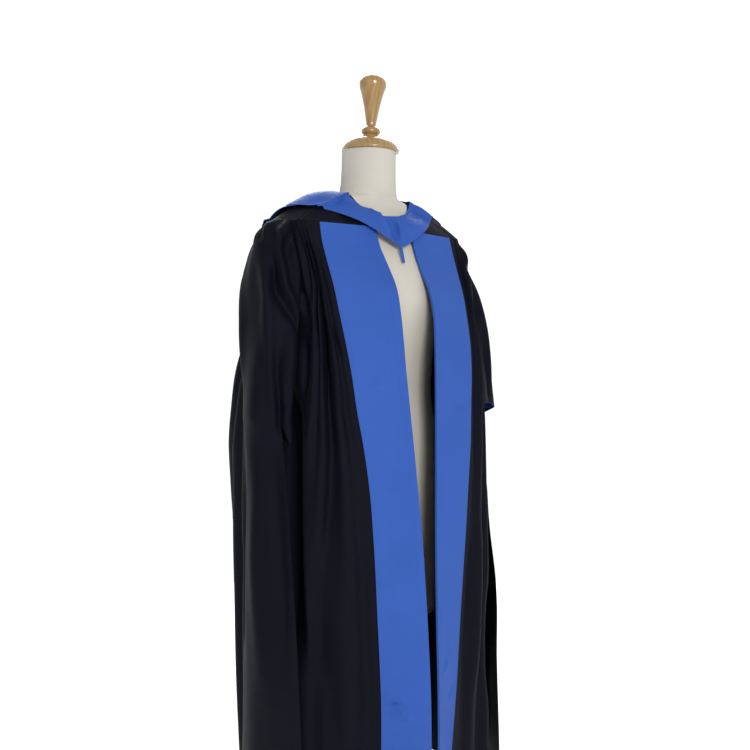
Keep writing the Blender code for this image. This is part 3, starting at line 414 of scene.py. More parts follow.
woodLook = {
    "darker": (0.27, 0.15, 0.045), "lighter": (0.39, 0.24, 0.085), "roughness": 0.38, "coat": 0.7,
    "coatRoughness": 0.12, "grainScale": (6.0, 6.0, 1.2), "ringShare": 0.55, "grainShare": 0.5,
}
steelLook = {"colour": (0.55, 0.55, 0.56), "roughness": 0.34, "roughnessLess": 0.08, "roughnessMore": 0.1}
threadLook = {
    "black": (0.012, 0.013, 0.017), "satin": (0.036, 0.1, 0.42), "roughness": 0.5,
    # how much darker and lighter its twist is than its colour
    "darker": 0.8, "lighter": 1.2,
}
blackCloth = wovenFinish("black_cloth", blackClothLook)
satin = wovenFinish("blue_satin", satinLook)
jersey = wovenFinish("cream_jersey", jerseyLook)
wood = woodFinish("lacquered_wood", woodLook)
steel = steelFinish("steel", steelLook)
blackThread = threadFinish("black_thread", threadLook["black"])
satinThread = threadFinish("blue_thread", threadLook["satin"])
print("finishes made")


def bodyOutline(girth, height):
    # the gown's smooth outline, as how far out and how far forward each point lies
    levels = np.array(gownBody["levels"])
    rows = readCurve(-levels[:, 0], levels[:, 1:], -height.ravel())
    edgeOut, edgeFwd, faceOut, faceFwd, cornerOut, cornerFwd, sideOut, rearOut, rearBack, centre = rows.T
    zero = np.zeros_like(edgeOut)
    outs = np.stack([edgeOut, faceOut, cornerOut, sideOut, rearOut, zero, -rearOut], 1)
    fwds = np.stack([edgeFwd, faceFwd, cornerFwd, zero, -rearBack, -centre, -rearBack], 1)
    share = knotShares(gownBody["girthKnots"], girth)
    return (outs * share).sum(1).reshape(girth.shape), (fwds * share).sum(1).reshape(girth.shape)


def foldPush(side, girth, height):
    push = np.zeros_like(height)
    piece = frontPiece
    for topAt, footAt, topWidth, footWidth, depth, start, end in piece["folds"][side]:
        run = np.clip((start - height) / (start - end), 0.0, 1.0)
        across = (girth - topAt - (footAt - topAt) * run) / (topWidth + (footWidth - topWidth) * run)
        sewn = piece["foldSewnShare"] if start >= gownBody["levels"][0][0] - piece["foldSeamReach"] else 0.0
        grows = sewn + (1 - sewn) * ramp(start - height, 0.0, piece["foldRunIn"])
        fades = 1.0 if end <= gownBody["hem"] else ramp(height, end, end + piece["foldRunOut"])
        push += depth * grows * fades * np.maximum(0.0, 1 - across * across) ** 2
    return push


def backPush(girth, height):
    share = (1.0 - girth) / (1.0 - gownBody["sideSeam"])
    piece = backPiece
    reach = ramp(girth, *piece["foldedFrom"])
    grow, fade, broad = (ramp(piece[key][0] - height, 0.0, piece[key][1])
                         for key in ("fluteGrow", "fluteFade", "foldGrow"))
    small = piece["sewnShare"] + (1 - piece["sewnShare"]) * grow
    small *= 1 - (1 - piece["lowShare"]) * fade
    flutes = piece["fluteDepth"] * small * np.cos(2 * math.pi * piece["flutes"] * share)
    folds = piece["foldDepth"] * broad * np.cos(2 * math.pi * piece["folds"] * share)
    return reach * (flutes + folds)


def bodyPoints(side, girth, height, folded=True, push=0.0):
    # points on the outside of the gown's body. side is the wearer's right or left
    step = gownBody["girthStep"]
    x0, y0 = bodyOutline(girth - step, height)
    x1, y1 = bodyOutline(girth + step, height)
    x, y = bodyOutline(girth, height)
    length = np.hypot(x1 - x0, y1 - y0)
    out, fwd = -(y1 - y0) / length, (x1 - x0) / length
    if folded:
        push = push + foldPush(side, girth, height) + backPush(girth, height)
    flip = -1.0 if side == "right" else 1.0
    return np.stack([flip * (x + out * push), -(y + fwd * push), height], axis=-1)


def seamHeight(girth):
    heights = np.array(gownBody["seamHeights"])[:, None]
    return readCurve(gownBody["girthKnots"], heights, girth)[:, 0].reshape(np.shape(girth))


def armholeReach(height, reach):
    # how far the armhole cuts into the girth at each height
    top = gownBody["armholeTop"]
    drop = np.clip((top - height) / (top - gownBody["armpit"]), 0.0, 1.0)
    return reach * np.sqrt(1.0 - drop**3)


# Rows of stitches, each one a small spindle of thread that lies on the cloth.
stitching = {"pitch": 0.0034, "length": 0.0025, "width": 0.00032, "lift": 0.00012}


def stitchRow(name, path, away, finish):
    # stitches along a path that has a direction away from the cloth at each point
    shape = stitching
    lengths = np.concatenate([[0.0], np.cumsum(np.linalg.norm(np.diff(path, axis=0), axis=1))])
    count = int(lengths[-1] / shape["pitch"]) - 1
    middles = (np.arange(count) + 1) * shape["pitch"]
    spots = readCurve(lengths, path, middles)
    up = unit(readCurve(lengths, away, middles))
    along = unit(readCurve(lengths, path, middles + shape["length"] / 3) - spots)
    across = unit(np.cross(up, along))
    spots = spots + up * shape["lift"]
    half = shape["length"] / 2
    wide = shape["width"]
    corners = np.stack([spots - along * half, spots + across * wide, spots + up * wide, spots - across * wide,
                        spots - up * wide, spots + along * half], axis=1)
    sides = [(0, 1, 2), (0, 2, 3), (0, 3, 4), (0, 4, 1), (5, 2, 1), (5, 3, 2), (5, 4, 3), (5, 1, 4)]
    faces = [[6 * n + k for k in side] for n in range(count) for side in sides]
    mesh = bpy.data.meshes.new(name)
    mesh.from_pydata(corners.reshape(-1, 3).tolist(), [], faces)
    return finishPiece(name, mesh, finish, None)


# Fronts and their satin facings.
frontPiece = {
    # girth at the top and at the foot, width at the top and at the foot, depth, start and end
    "folds": {
        "right": (
            (0.185, 0.19, 0.022, 0.026, -0.005, 1.4423, 0.3),
            (0.212, 0.232, 0.022, 0.034, 0.0085, 1.4423, 0.62),
            (0.24, 0.274, 0.022, 0.032, -0.009, 1.4423, 0.7),
            (0.268, 0.31, 0.022, 0.03, 0.009, 1.4423, 0.76),
            (0.296, 0.322, 0.022, 0.028, -0.007, 1.4423, 1.05),
            (0.324, 0.345, 0.022, 0.03, 0.006, 1.4423, 1.08),
            (0.3, 0.29, 0.03, 0.034, 0.008, 0.6, 0.21),
            (0.412, 0.352, 0.03, 0.03, -0.018, 1.12, 0.5),
        ),
        "left": (
            (0.186, 0.196, 0.022, 0.026, -0.005, 1.4423, 0.3),
            (0.214, 0.238, 0.022, 0.034, 0.008, 1.4423, 0.21),
            (0.244, 0.28, 0.022, 0.034, -0.009, 1.4423, 0.21),
            (0.272, 0.322, 0.022, 0.034, 0.008, 1.4423, 0.21),
            (0.302, 0.352, 0.022, 0.032, -0.007, 1.4423, 1.0),
        ),
    },
    "foldRunIn": 0.12, "foldRunOut": 0.22, "foldSewnShare": 0.12, "foldSeamReach": 0.01,
    "rows": 200, "facingColumns": 28, "columns": 88, "rowGrowth": 1.35,
    "hemTurn": 0.018, "hemSwell": 0.0006, "hemStep": 0.003,
    "unevenSize": 0.1, "unevenDepth": 0.0016, "creaseGain": 1.35,
    # creases as lines through (girth in metres, height), with a width and a depth
    "creases": {
        "right": (
            (((0.22, 1.414), (0.225, 1.389), (0.225, 1.339), (0.22, 1.29), (0.205, 1.246)), 0.009, 0.007),
            (((0.19, 1.389), (0.165, 1.315), (0.165, 1.259)), 0.008, -0.007),
            (((0.245, 1.302), (0.24, 1.277), (0.23, 1.246)), 0.009, 0.007),
            (((0.23, 1.296), (0.225, 1.253)), 0.007, -0.008),
            (((0.23, 1.209), (0.225, 1.141), (0.225, 1.079)), 0.008, -0.0085),
            (((0.195, 1.24), (0.195, 1.16), (0.2, 1.079), (0.21, 1.004), (0.21, 0.924)), 0.011, 0.007),
            (((0.135, 1.253), (0.16, 1.16), (0.165, 1.073)), 0.014, -0.0085),
            (((0.125, 1.215), (0.125, 1.141), (0.13, 1.073)), 0.011, 0.0045),
            (((0.262, 1.1), (0.254, 0.96), (0.251, 0.87), (0.247, 0.769), (0.24, 0.56)), 0.018, -0.034),
            (((0.142, 0.86), (0.146, 0.613), (0.146, 0.28)), 0.02, 0.011),
            (((0.182, 0.76), (0.182, 0.502), (0.185, 0.25)), 0.022, -0.012),
            (((0.19, 1.4), (0.176, 1.35), (0.165, 1.308)), 0.005, -0.004),
            (((0.16, 1.222), (0.15, 1.15), (0.14, 1.079)), 0.006, -0.0035),
            (((0.12, 1.234), (0.112, 1.2), (0.105, 1.166)), 0.006, -0.003),
            (((0.11, 1.02), (0.116, 0.9), (0.112, 0.76)), 0.01, 0.004),
            (((0.175, 0.98), (0.17, 0.86), (0.176, 0.72)), 0.012, -0.005),
            # rucks across the facing
            (((0.088, 0.489), (0.068, 0.487), (0.052, 0.478)), 0.006, 0.0048),
            (((0.078, 0.458), (0.055, 0.452), (0.033, 0.44)), 0.006, 0.0055),
            (((0.08, 0.472), (0.06, 0.468), (0.044, 0.462)), 0.005, -0.0042),
            (((0.072, 0.651), (0.06, 0.64), (0.048, 0.626)), 0.006, 0.0042),
            (((0.03, 1.14), (0.052, 1.12), (0.07, 1.116)), 0.01, -0.0026),
            (((0.04, 0.905), (0.06, 0.89), (0.078, 0.893)), 0.012, 0.0026),
        ),
        "left": (
            (((0.212, 1.416), (0.218, 1.38), (0.219, 1.335), (0.21, 1.27)), 0.009, 0.0065),
            (((0.186, 1.392), (0.17, 1.32), (0.166, 1.25)), 0.008, -0.007),
            (((0.24, 1.31), (0.236, 1.28), (0.228, 1.24)), 0.009, 0.006),
            (((0.224, 1.215), (0.22, 1.15), (0.222, 1.09)), 0.008, -0.0075),
            (((0.192, 1.23), (0.196, 1.14), (0.204, 1.02), (0.206, 0.94)), 0.012, 0.0065),
            (((0.138, 1.26), (0.156, 1.17), (0.16, 1.06)), 0.013, -0.0075),
            (((0.12, 1.2), (0.124, 1.12), (0.128, 1.05)), 0.011, 0.0045),
            (((0.24, 1.01), (0.234, 0.93), (0.226, 0.82), (0.222, 0.69)), 0.013, -0.009),
            (((0.142, 0.8), (0.148, 0.64), (0.146, 0.45)), 0.014, 0.0065),
            (((0.184, 0.66), (0.186, 0.52), (0.19, 0.4)), 0.019, -0.007),
            (((0.114, 0.98), (0.118, 0.86), (0.116, 0.74)), 0.01, 0.004),
            (((0.04, 0.539), (0.03, 0.528), (0.02, 0.52)), 0.006, 0.0045),
            (((0.082, 0.47), (0.06, 0.46), (0.046, 0.452)), 0.006, 0.0045),
            (((0.034, 1.08), (0.056, 1.066), (0.074, 1.07)), 0.01, -0.0026),
        ),
    },
    # the cut as width and length, and its flat area
    "cut": (0.42, 1.29), "area": 0.458, "facingCut": (0.16, 1.27), "facingArea": 0.164,
    # the satin's columns that are sewn, its columns that are turned in, and the rows left bare at the ends
    "edgeStitch": {"inner": 4, "outer": -2}, "turnedColumns": 3, "bareRows": 2,
}


def panelGrid(side, girthsAt, columns, piece, creases):
    rows, growth = piece["rows"], piece["rowGrowth"]
    shares = np.linspace(0.0, 1.0, rows) ** growth
    girth, height = np.zeros((rows, columns)), np.zeros((rows, columns))
    for i, share in enumerate(shares):
        girth[i] = girthsAt(gownBody["armholeTop"] + (gownBody["hem"] - gownBody["armholeTop"]) * share)
        where = np.minimum(girth[i], 2 - girth[i])
        top = seamHeight(where) - gownBody["seamGap"]
        height[i] = top + (gownBody["hem"] - top) * share
    where = np.minimum(girth, 2 - girth)
    metres = girth * gownBody["girthMetres"]
    push = creasePush(creases, metres, height) * piece["creaseGain"]
    places = np.stack([metres, height * clothBuild["swellDown"], np.zeros_like(metres)], axis=-1)
    places += clothBuild["panelShift"][side]
    sewnTop = ramp(gownBody["armholeTop"] - height, 0.0, gownBody["sewnDepth"])
    push += softNoise(places, piece["unevenSize"], piece["unevenDepth"]) * sewnTop
    grid = bodyPoints(side, where, height, push=push)
    flip = girth > 1.0
    grid[flip, 0] *= -1
    return grid, height


def hemThickened(grid, normal, height):
    # the inside of the cloth, which is double where its hem is turned up
    step = frontPiece["hemStep"]
    double = ramp(gownBody["hem"] + frontPiece["hemTurn"] + step - height, 0.0, step)
    return grid - normal * (gownBody["blackThickness"] + frontPiece["hemSwell"] * double)[..., None]


def makeFront(side):
    piece = frontPiece

    def girthsAt(height):
        edge = gownBody["sideSeam"] - armholeReach(height, gownBody["armholeFront"]) - gownBody["seamGap"]
        faced = np.linspace(gownBody["facingReturn"], gownBody["facingEdge"], piece["facingColumns"] - 1)
        return np.concatenate([[0.0], faced, np.linspace(gownBody["facingEdge"], edge, piece["columns"])[1:]])

    columns = piece["facingColumns"] + piece["columns"] - 1
    grid, height = panelGrid(side, girthsAt, columns, piece, piece["creases"][side])
    normal = levelRow(turnedOut(grid, gridNormals(grid)), 0)
    front = clothPiece("front_" + side + "_cloth", grid, hemThickened(grid, normal, height), blackCloth,
                       "front_" + side)
    makeFacing(side, grid, normal)


def makeFacing(side, grid, normal):
    # satin on the panel's outside, folded round its front edge to a narrow return inside
    piece, thin = frontPiece, gownBody["seamGap"]
    count, bare = piece["facingColumns"], piece["bareRows"]
    cloth, away = grid[:, :count], normal[:, :count]
    across = unit(cloth[:, 0] - cloth[:, 1])
    sheets = []
    for lift in (thin + gownBody["satinThickness"], thin):
        outside = [cloth[:, j] + away[:, j] * lift for j in range(1, count)]
        corner = cloth[:, 0] + away[:, 0] * lift + across * lift
        behind = gownBody["blackThickness"] + piece["hemSwell"] + lift
        turned = cloth[:, 0] - away[:, 0] * behind + across * lift
        inside = cloth[:, 1] - away[:, 1] * behind
        sheets.append(np.stack([inside, turned, corner, *outside], axis=1))
    name = "facing_" + side
    facing = clothPiece(name + "_satin", sheets[0], sheets[1], satin, name, crossed=1)
    rows = [stitchRow(name + "_stitches_" + edge, sheets[0][bare:-bare, column],
                      away[bare:-bare, column - piece["turnedColumns"]], satinThread)
            for edge, column in piece["edgeStitch"].items()]


# Back.
backPiece = {
    # small flutes at the yoke fade into broad folds. Each change has the height where it starts, and its reach
    "flutes": 7, "fluteDepth": 0.0042, "sewnShare": 0.25, "lowShare": 0.2, "folds": 4, "foldDepth": 0.015,
    "fluteGrow": (1.4, 0.06), "fluteFade": (1.3, 0.45), "foldGrow": (1.25, 0.75), "foldedFrom": (0.54, 0.65),
    "rows": 170, "columns": 280, "rowGrowth": 1.35, "unevenSize": 0.11, "unevenDepth": 0.003,
    # creases as lines through (girth in metres, height), with a width and a depth
    "creaseGain": 1.0,
    "creases": (
        (((0.395, 1.37), (0.4, 1.25), (0.392, 1.12), (0.398, 0.98)), 0.012, -0.008),
        (((0.432, 1.25), (0.426, 1.12), (0.434, 0.96), (0.43, 0.82)), 0.014, 0.007),
        (((0.47, 1.12), (0.478, 0.98), (0.472, 0.8)), 0.014, -0.008),
        (((0.52, 1.02), (0.512, 0.88), (0.52, 0.7), (0.514, 0.54)), 0.016, 0.007),
        (((0.556, 0.9), (0.56, 0.76), (0.552, 0.6)), 0.013, -0.007),
        (((0.604, 0.88), (0.598, 0.7), (0.606, 0.5)), 0.015, 0.006),
        (((0.648, 0.94), (0.655, 0.8), (0.648, 0.64)), 0.013, -0.0075),
        (((0.7, 1.06), (0.694, 0.92), (0.702, 0.74), (0.698, 0.58)), 0.016, 0.007),
        (((0.742, 1.16), (0.736, 1.02), (0.744, 0.86)), 0.013, -0.008),
        (((0.782, 1.28), (0.776, 1.14), (0.784, 0.98), (0.778, 0.8)), 0.014, 0.007),
        (((0.812, 1.36), (0.806, 1.24), (0.81, 1.1)), 0.01, -0.007),
        (((0.41, 0.62), (0.424, 0.5), (0.42, 0.38)), 0.016, 0.006),
        (((0.79, 0.64), (0.78, 0.52), (0.784, 0.36)), 0.016, -0.006),
        (((0.37, 1.18), (0.384, 1.13), (0.404, 1.1)), 0.008, -0.005),
        (((0.834, 1.19), (0.816, 1.15), (0.798, 1.12)), 0.008, -0.005),
    ),
    "cut": (0.95, 1.25), "area": 1.022,
}


def makeBack():
    piece = backPiece

    def girthsAt(height):
        edge = gownBody["sideSeam"] + armholeReach(height, gownBody["armholeRear"]) + gownBody["seamGap"]
        return np.linspace(edge, 2 - edge, piece["columns"])

    grid, height = panelGrid("right", girthsAt, piece["columns"], piece, piece["creases"])
    normal = levelRow(turnedOut(grid, gridNormals(grid)), 0)
    inside = hemThickened(grid, normal, height)
    made = clothPiece("back_cloth", grid, inside, blackCloth, "back")
    return faceOf(grid, normal)


# Yoke.
yokePiece = {
    "rows": 40, "columns": 220, "rest": 0.0008, "cut": (1.13, 0.21), "area": 0.114, "stitchRow": -3,
}


def yokePoints(girth, share):
    # girth runs from 0 round the wearer's right to 1 at the centre back and on to 2
    where = np.minimum(girth, 2 - girth)
    flip = np.where(girth <= 1.0, -1.0, 1.0)
    shares = knotShares(gownBody["girthKnots"], where)
    neckline = shares @ np.array(gownBody["neckline"])
    roundness = (shares @ np.array(gownBody["yokeRoundness"])[:, None]).reshape(girth.shape)
    out, fwd, height = (neckline[:, n].reshape(girth.shape) for n in range(3))
    neck = np.stack([flip * out, -fwd, height], axis=-1)
    rightSeam = bodyPoints("right", where, seamHeight(where))
    leftSeam = bodyPoints("left", where, seamHeight(where))
    seam = np.where((flip < 0)[..., None], rightSeam, leftSeam)
    level = neck + (seam - neck) * share[..., None]
    level[..., 2] = neck[..., 2] + (seam[..., 2] - neck[..., 2]) * np.maximum(share, 0.0) ** roundness
    return level, neck, seam


def makeYoke(formFace):
    piece = yokePiece
    girth, share = np.meshgrid(np.linspace(0.0, 2.0, piece["columns"]), np.linspace(0.0, 1.0, piece["rows"]))
    grid = yokePoints(girth, share)[0]
    grid[:-1] = liftClear(grid[:-1], [formFace], gownBody["blackThickness"] + piece["rest"])
    grid[-1, :, 2] += gownBody["seamGap"] / 2
    normal = levelRow(turnedOut(grid, gridNormals(grid)), -1)
    made = clothPiece("yoke_cloth", grid, grid - normal * gownBody["blackThickness"], blackCloth, "yoke")
    row = piece["stitchRow"]
    sewn = stitchRow("yoke_stitches", grid[row], normal[row], blackThread)
    return faceOf(grid, normal)


# Sleeves.
sleevePiece = {
    # how far the sleeve's lining stops above its mouth in rows, and where the open sleeve is already narrow
    "setBack": {"right": 5, "left": 0}, "narrowFrom": {"right": (), "left": (1.034, 1.005)},
    "gap": 0.0012, "gathers": 11, "gatherDepth": 0.0035, "gatherReach": 0.72, "gatherStart": (-0.05, 0.12),
    "sewnShare": 0.15, "armholeSpread": 0.8, "armholeRows": 14, "armholeTopPoints": 5, "rowGrowth": 1.25,
    "opening": {"right": (0.25, 0.4375), "left": (0.125, 0.4375)},
    # elbow out, forward, height; start out, forward, up; lean out, forward, up, for the front
    # and outer side, and then for the rear, which is the same on both sides
    "elbows": {
        "right": (
            (0.312, 0.0, 1.05, 0.2, 0.0, -0.13, 0.02, 0.0, -0.45),
            (0.318, 0.048, 1.045, 0.2, 0.06, -0.17, 0.03, 0.0, -0.42),
            (0.276, 0.082, 1.03, 0.05, 0.05, -0.2, 0.02, -0.01, -0.35),
            (0.26, 0.096, 0.985, 0.02, 0.05, -0.15, 0.01, 0.03, -0.25),
            (0.258, 0.03, 1.03, 0.015, 0.02, -0.1, 0.0, 0.02, -0.18),
        ),
        "left": (
            (0.312, 0.0, 1.05, 0.18, 0.0, -0.13, 0.035, 0.0, -0.45),
            (0.331, 0.066, 1.052, 0.145, 0.08, -0.17, 0.06, 0.01, -0.42),
            (0.295, 0.087, 1.066, 0.05, 0.05, -0.2, 0.03, 0.0, -0.35),
            (0.26, 0.098, 1.058, 0.02, 0.05, -0.15, 0.01, 0.02, -0.25),
            (0.258, 0.03, 1.04, 0.015, 0.02, -0.1, 0.0, 0.02, -0.18),
        ),
    },
    "rearElbows": (
        (0.259, -0.02, 1.04, 0.02, -0.02, -0.12, 0.0, 0.0, -0.2),
        (0.27, -0.052, 1.045, 0.05, -0.03, -0.2, 0.0, 0.0, -0.3),
        (0.292, -0.034, 1.05, 0.19, -0.05, -0.17, 0.01, 0.0, -0.42),
    ),
    # where round the sleeve the open part's points lie, and then its levels
    "openKnots": (0.0, 0.125, 0.25, 0.375, 0.5), "liningBack": 0.03125,
    # height; front edge, outer, outer rear, rear, inner rear, inner, inner edge
    "openLevels": (
        (0.97, (0.266, 0.08), (0.308, 0.008), (0.292, -0.03), (0.272, -0.05),
         (0.263, -0.02), (0.262, 0.02), (0.262, 0.045)),
        (0.9, (0.27, 0.097), (0.307, 0.012), (0.293, -0.028), (0.275, -0.048),
         (0.267, -0.018), (0.266, 0.022), (0.266, 0.05)),
        (0.8, (0.27, 0.108), (0.307, 0.014), (0.294, -0.028), (0.278, -0.046),
         (0.27, -0.015), (0.269, 0.025), (0.269, 0.055)),
        (0.65, (0.272, 0.128), (0.308, 0.018), (0.296, -0.028), (0.282, -0.044),
         (0.274, -0.012), (0.273, 0.028), (0.273, 0.06)),
        (0.5, (0.268, 0.139), (0.309, 0.022), (0.298, -0.026), (0.285, -0.041),
         (0.277, -0.01), (0.276, 0.03), (0.276, 0.064)),
        (0.37, (0.266, 0.146), (0.31, 0.024), (0.3, -0.025), (0.287, -0.039),
         (0.279, -0.008), (0.278, 0.032), (0.278, 0.066)),
        (0.25, (0.266, 0.149), (0.312, 0.026), (0.302, -0.023), (0.289, -0.038),
         (0.281, -0.006), (0.28, 0.033), (0.28, 0.067)),
    ),
    "round": 240, "rows": 84, "openRows": 76, "unevenSize": 0.09, "unevenDepth": 0.003,
    # creases as lines through (metres round the sleeve from its top, height); the first ones are at its head
    "aroundMetres": 0.36, "wrapAt": 0.62, "creaseGain": 1.5,
    "creases": {
        "right": (
            (((0.0, 1.432), (0.006, 1.4)), 0.0035, -0.0028),
            (((0.004, 1.435), (0.015, 1.396)), 0.0035, 0.003),
            (((0.011, 1.433), (0.03, 1.388)), 0.004, -0.0034),
            (((0.022, 1.43), (0.039, 1.39)), 0.0035, 0.0028),
            (((-0.01, 1.434), (-0.006, 1.396)), 0.004, 0.0028),
            (((-0.022, 1.43), (-0.02, 1.398)), 0.0035, -0.0028),
            (((-0.036, 1.428), (-0.038, 1.392)), 0.004, 0.003),
            (((0.007, 1.415), (0.018, 1.356), (0.042, 1.285), (0.062, 1.18), (0.075, 1.105), (0.083, 1.023)),
             0.01, 0.007),
            (((0.018, 1.404), (0.035, 1.355), (0.056, 1.296), (0.08, 1.255), (0.112, 1.216)), 0.009, -0.01),
            (((0.069, 1.19), (0.077, 1.121), (0.086, 1.062), (0.091, 1.001)), 0.0065, -0.009),
            (((0.084, 1.22), (0.096, 1.16), (0.101, 1.097)), 0.017, 0.009),
            (((0.101, 1.072), (0.108, 1.033), (0.121, 0.994)), 0.012, 0.006),
            (((0.031, 1.4), (0.051, 1.355), (0.07, 1.298), (0.093, 1.255)), 0.007, 0.0055),
            (((0.039, 1.409), (0.063, 1.355), (0.076, 1.299)), 0.008, -0.008),
            (((0.031, 1.001), (0.02, 0.766), (0.03, 0.493)), 0.018, 0.006),
            (((0.068, 0.944), (0.069, 0.767), (0.073, 0.54)), 0.012, -0.007),
            (((-0.03, 1.34), (-0.016, 1.24), (-0.02, 1.12)), 0.013, 0.006),
            (((-0.052, 1.3), (-0.046, 1.18), (-0.052, 1.06)), 0.012, -0.007),
            (((-0.074, 1.1), (-0.08, 0.94), (-0.076, 0.76)), 0.014, 0.006),
            (((-0.04, 0.96), (-0.046, 0.78), (-0.04, 0.56)), 0.014, -0.006),
        ),
        "left": (
            (((0.002, 1.432), (0.008, 1.398)), 0.0035, 0.0028),
            (((0.01, 1.434), (0.022, 1.392)), 0.004, -0.0032),
            (((0.024, 1.431), (0.038, 1.386)), 0.004, 0.003),
            (((-0.012, 1.434), (-0.01, 1.396)), 0.004, -0.003),
            (((-0.028, 1.43), (-0.03, 1.394)), 0.0035, 0.0028),
            (((0.01, 1.41), (0.022, 1.35), (0.044, 1.28), (0.06, 1.19), (0.07, 1.11)), 0.011, 0.0065),
            (((0.024, 1.4), (0.042, 1.345), (0.062, 1.29), (0.094, 1.24)), 0.009, -0.0085),
            (((0.072, 1.2), (0.08, 1.13), (0.086, 1.075)), 0.007, -0.007),
            (((0.046, 1.398), (0.066, 1.35), (0.08, 1.3)), 0.008, 0.0055),
            (((0.034, 0.96), (0.024, 0.76), (0.032, 0.52)), 0.017, 0.006),
            (((0.066, 0.9), (0.07, 0.74), (0.072, 0.56)), 0.012, -0.0065),
            (((-0.026, 1.33), (-0.02, 1.22), (-0.024, 1.1)), 0.013, 0.006),
            (((-0.054, 1.29), (-0.048, 1.17), (-0.054, 1.04)), 0.012, -0.007),
            (((-0.078, 1.06), (-0.076, 0.9), (-0.08, 0.72)), 0.014, 0.006),
            (((-0.044, 0.93), (-0.04, 0.76), (-0.046, 0.54)), 0.014, -0.006),
        ),
    },
    "liningRows": 22, "cut": (0.64, 1.26), "area": 0.353,
    "liningCut": {"right": (0.23, 0.112), "left": (0.2, 0.147)},
    "liningArea": {"right": 0.0162, "left": 0.0213},
}


def armholeRing(side, places):
    sideSeam, front, rear = gownBody["sideSeam"], gownBody["armholeFront"], gownBody["armholeRear"]
    deep = gownBody["armholeTop"] - gownBody["armpit"]
    corner = float(seamHeight(np.array([sideSeam - front]))[0])
    rearCorner = float(seamHeight(np.array([sideSeam + rear]))[0])
    heights = corner - deep * np.linspace(0, 1, sleevePiece["armholeRows"]) ** sleevePiece["armholeSpread"]
    back = np.array([h for h in heights[-2:0:-1] if h < rearCorner])
    count = sleevePiece["armholeTopPoints"]
    frontTop = np.linspace(sideSeam, sideSeam - front, count)
    rearTop = np.linspace(sideSeam + rear, sideSeam, count)
    girth = np.concatenate([frontTop, sideSeam - armholeReach(heights[1:], front),
                            sideSeam + armholeReach(back, rear), rearTop])
    height = np.concatenate([seamHeight(frontTop), heights[1:], back, seamHeight(rearTop)])
    points = bodyPoints(side, girth, height)
    lengths = np.concatenate([[0.0], np.cumsum(np.linalg.norm(np.diff(points, axis=0), axis=1))])
    return readCurve(lengths / lengths[-1], points, places)


def roundTable(rows, places):
    count = len(rows)
    around = [rows[k % count] for k in range(-2, count + 3)]
    return readCurve([k / count for k in range(-2, count + 3)], around, places)


def sleeveNormals(grid, first, last, tubeRows):
    normal = gridNormals(grid, closed=True)
    tube = slice(0, tubeRows - 1)
    middle = grid[tube].reshape(-1, 3).mean(axis=0)
    sense = 1.0 if np.sum((grid[tube] - middle) * normal[tube]) > 0 else -1.0
    normal *= sense
    down = np.gradient(grid, axis=0)
    for i in range(tubeRows - 1, len(grid)):
        for j, near, turn in ((first, first - 1, -sense), (last, last + 1, sense)):
            normal[i, j] = unit(turn * np.cross(grid[i, near] - grid[i, j], down[i, j]))
    return normal


def openSleeveLine(side, place, opening, elbow, rows):
    # one line down the open sleeve, from the elbow to its foot
    knots = (-opening[0], *sleevePiece["openKnots"], 1 - opening[1])
    backWay = -place if place <= opening[0] else 1 - place
    flip = -1.0 if side == "right" else 1.0
    path = [elbow]
    levels = sleevePiece["openLevels"]
    narrow = [(height, *levels[0][1:]) for height in sleevePiece["narrowFrom"][side]]
    for height, *roundIt in [*narrow, *levels]:
        out, fwd = readCurve(knots, roundIt, [backWay])[0]
        path.append(np.array([flip * out, -fwd, height]))
    heights = np.linspace(elbow[2], path[-1][2], rows + 1)[1:]
    return readCurve([-point[2] for point in path], path, -heights)


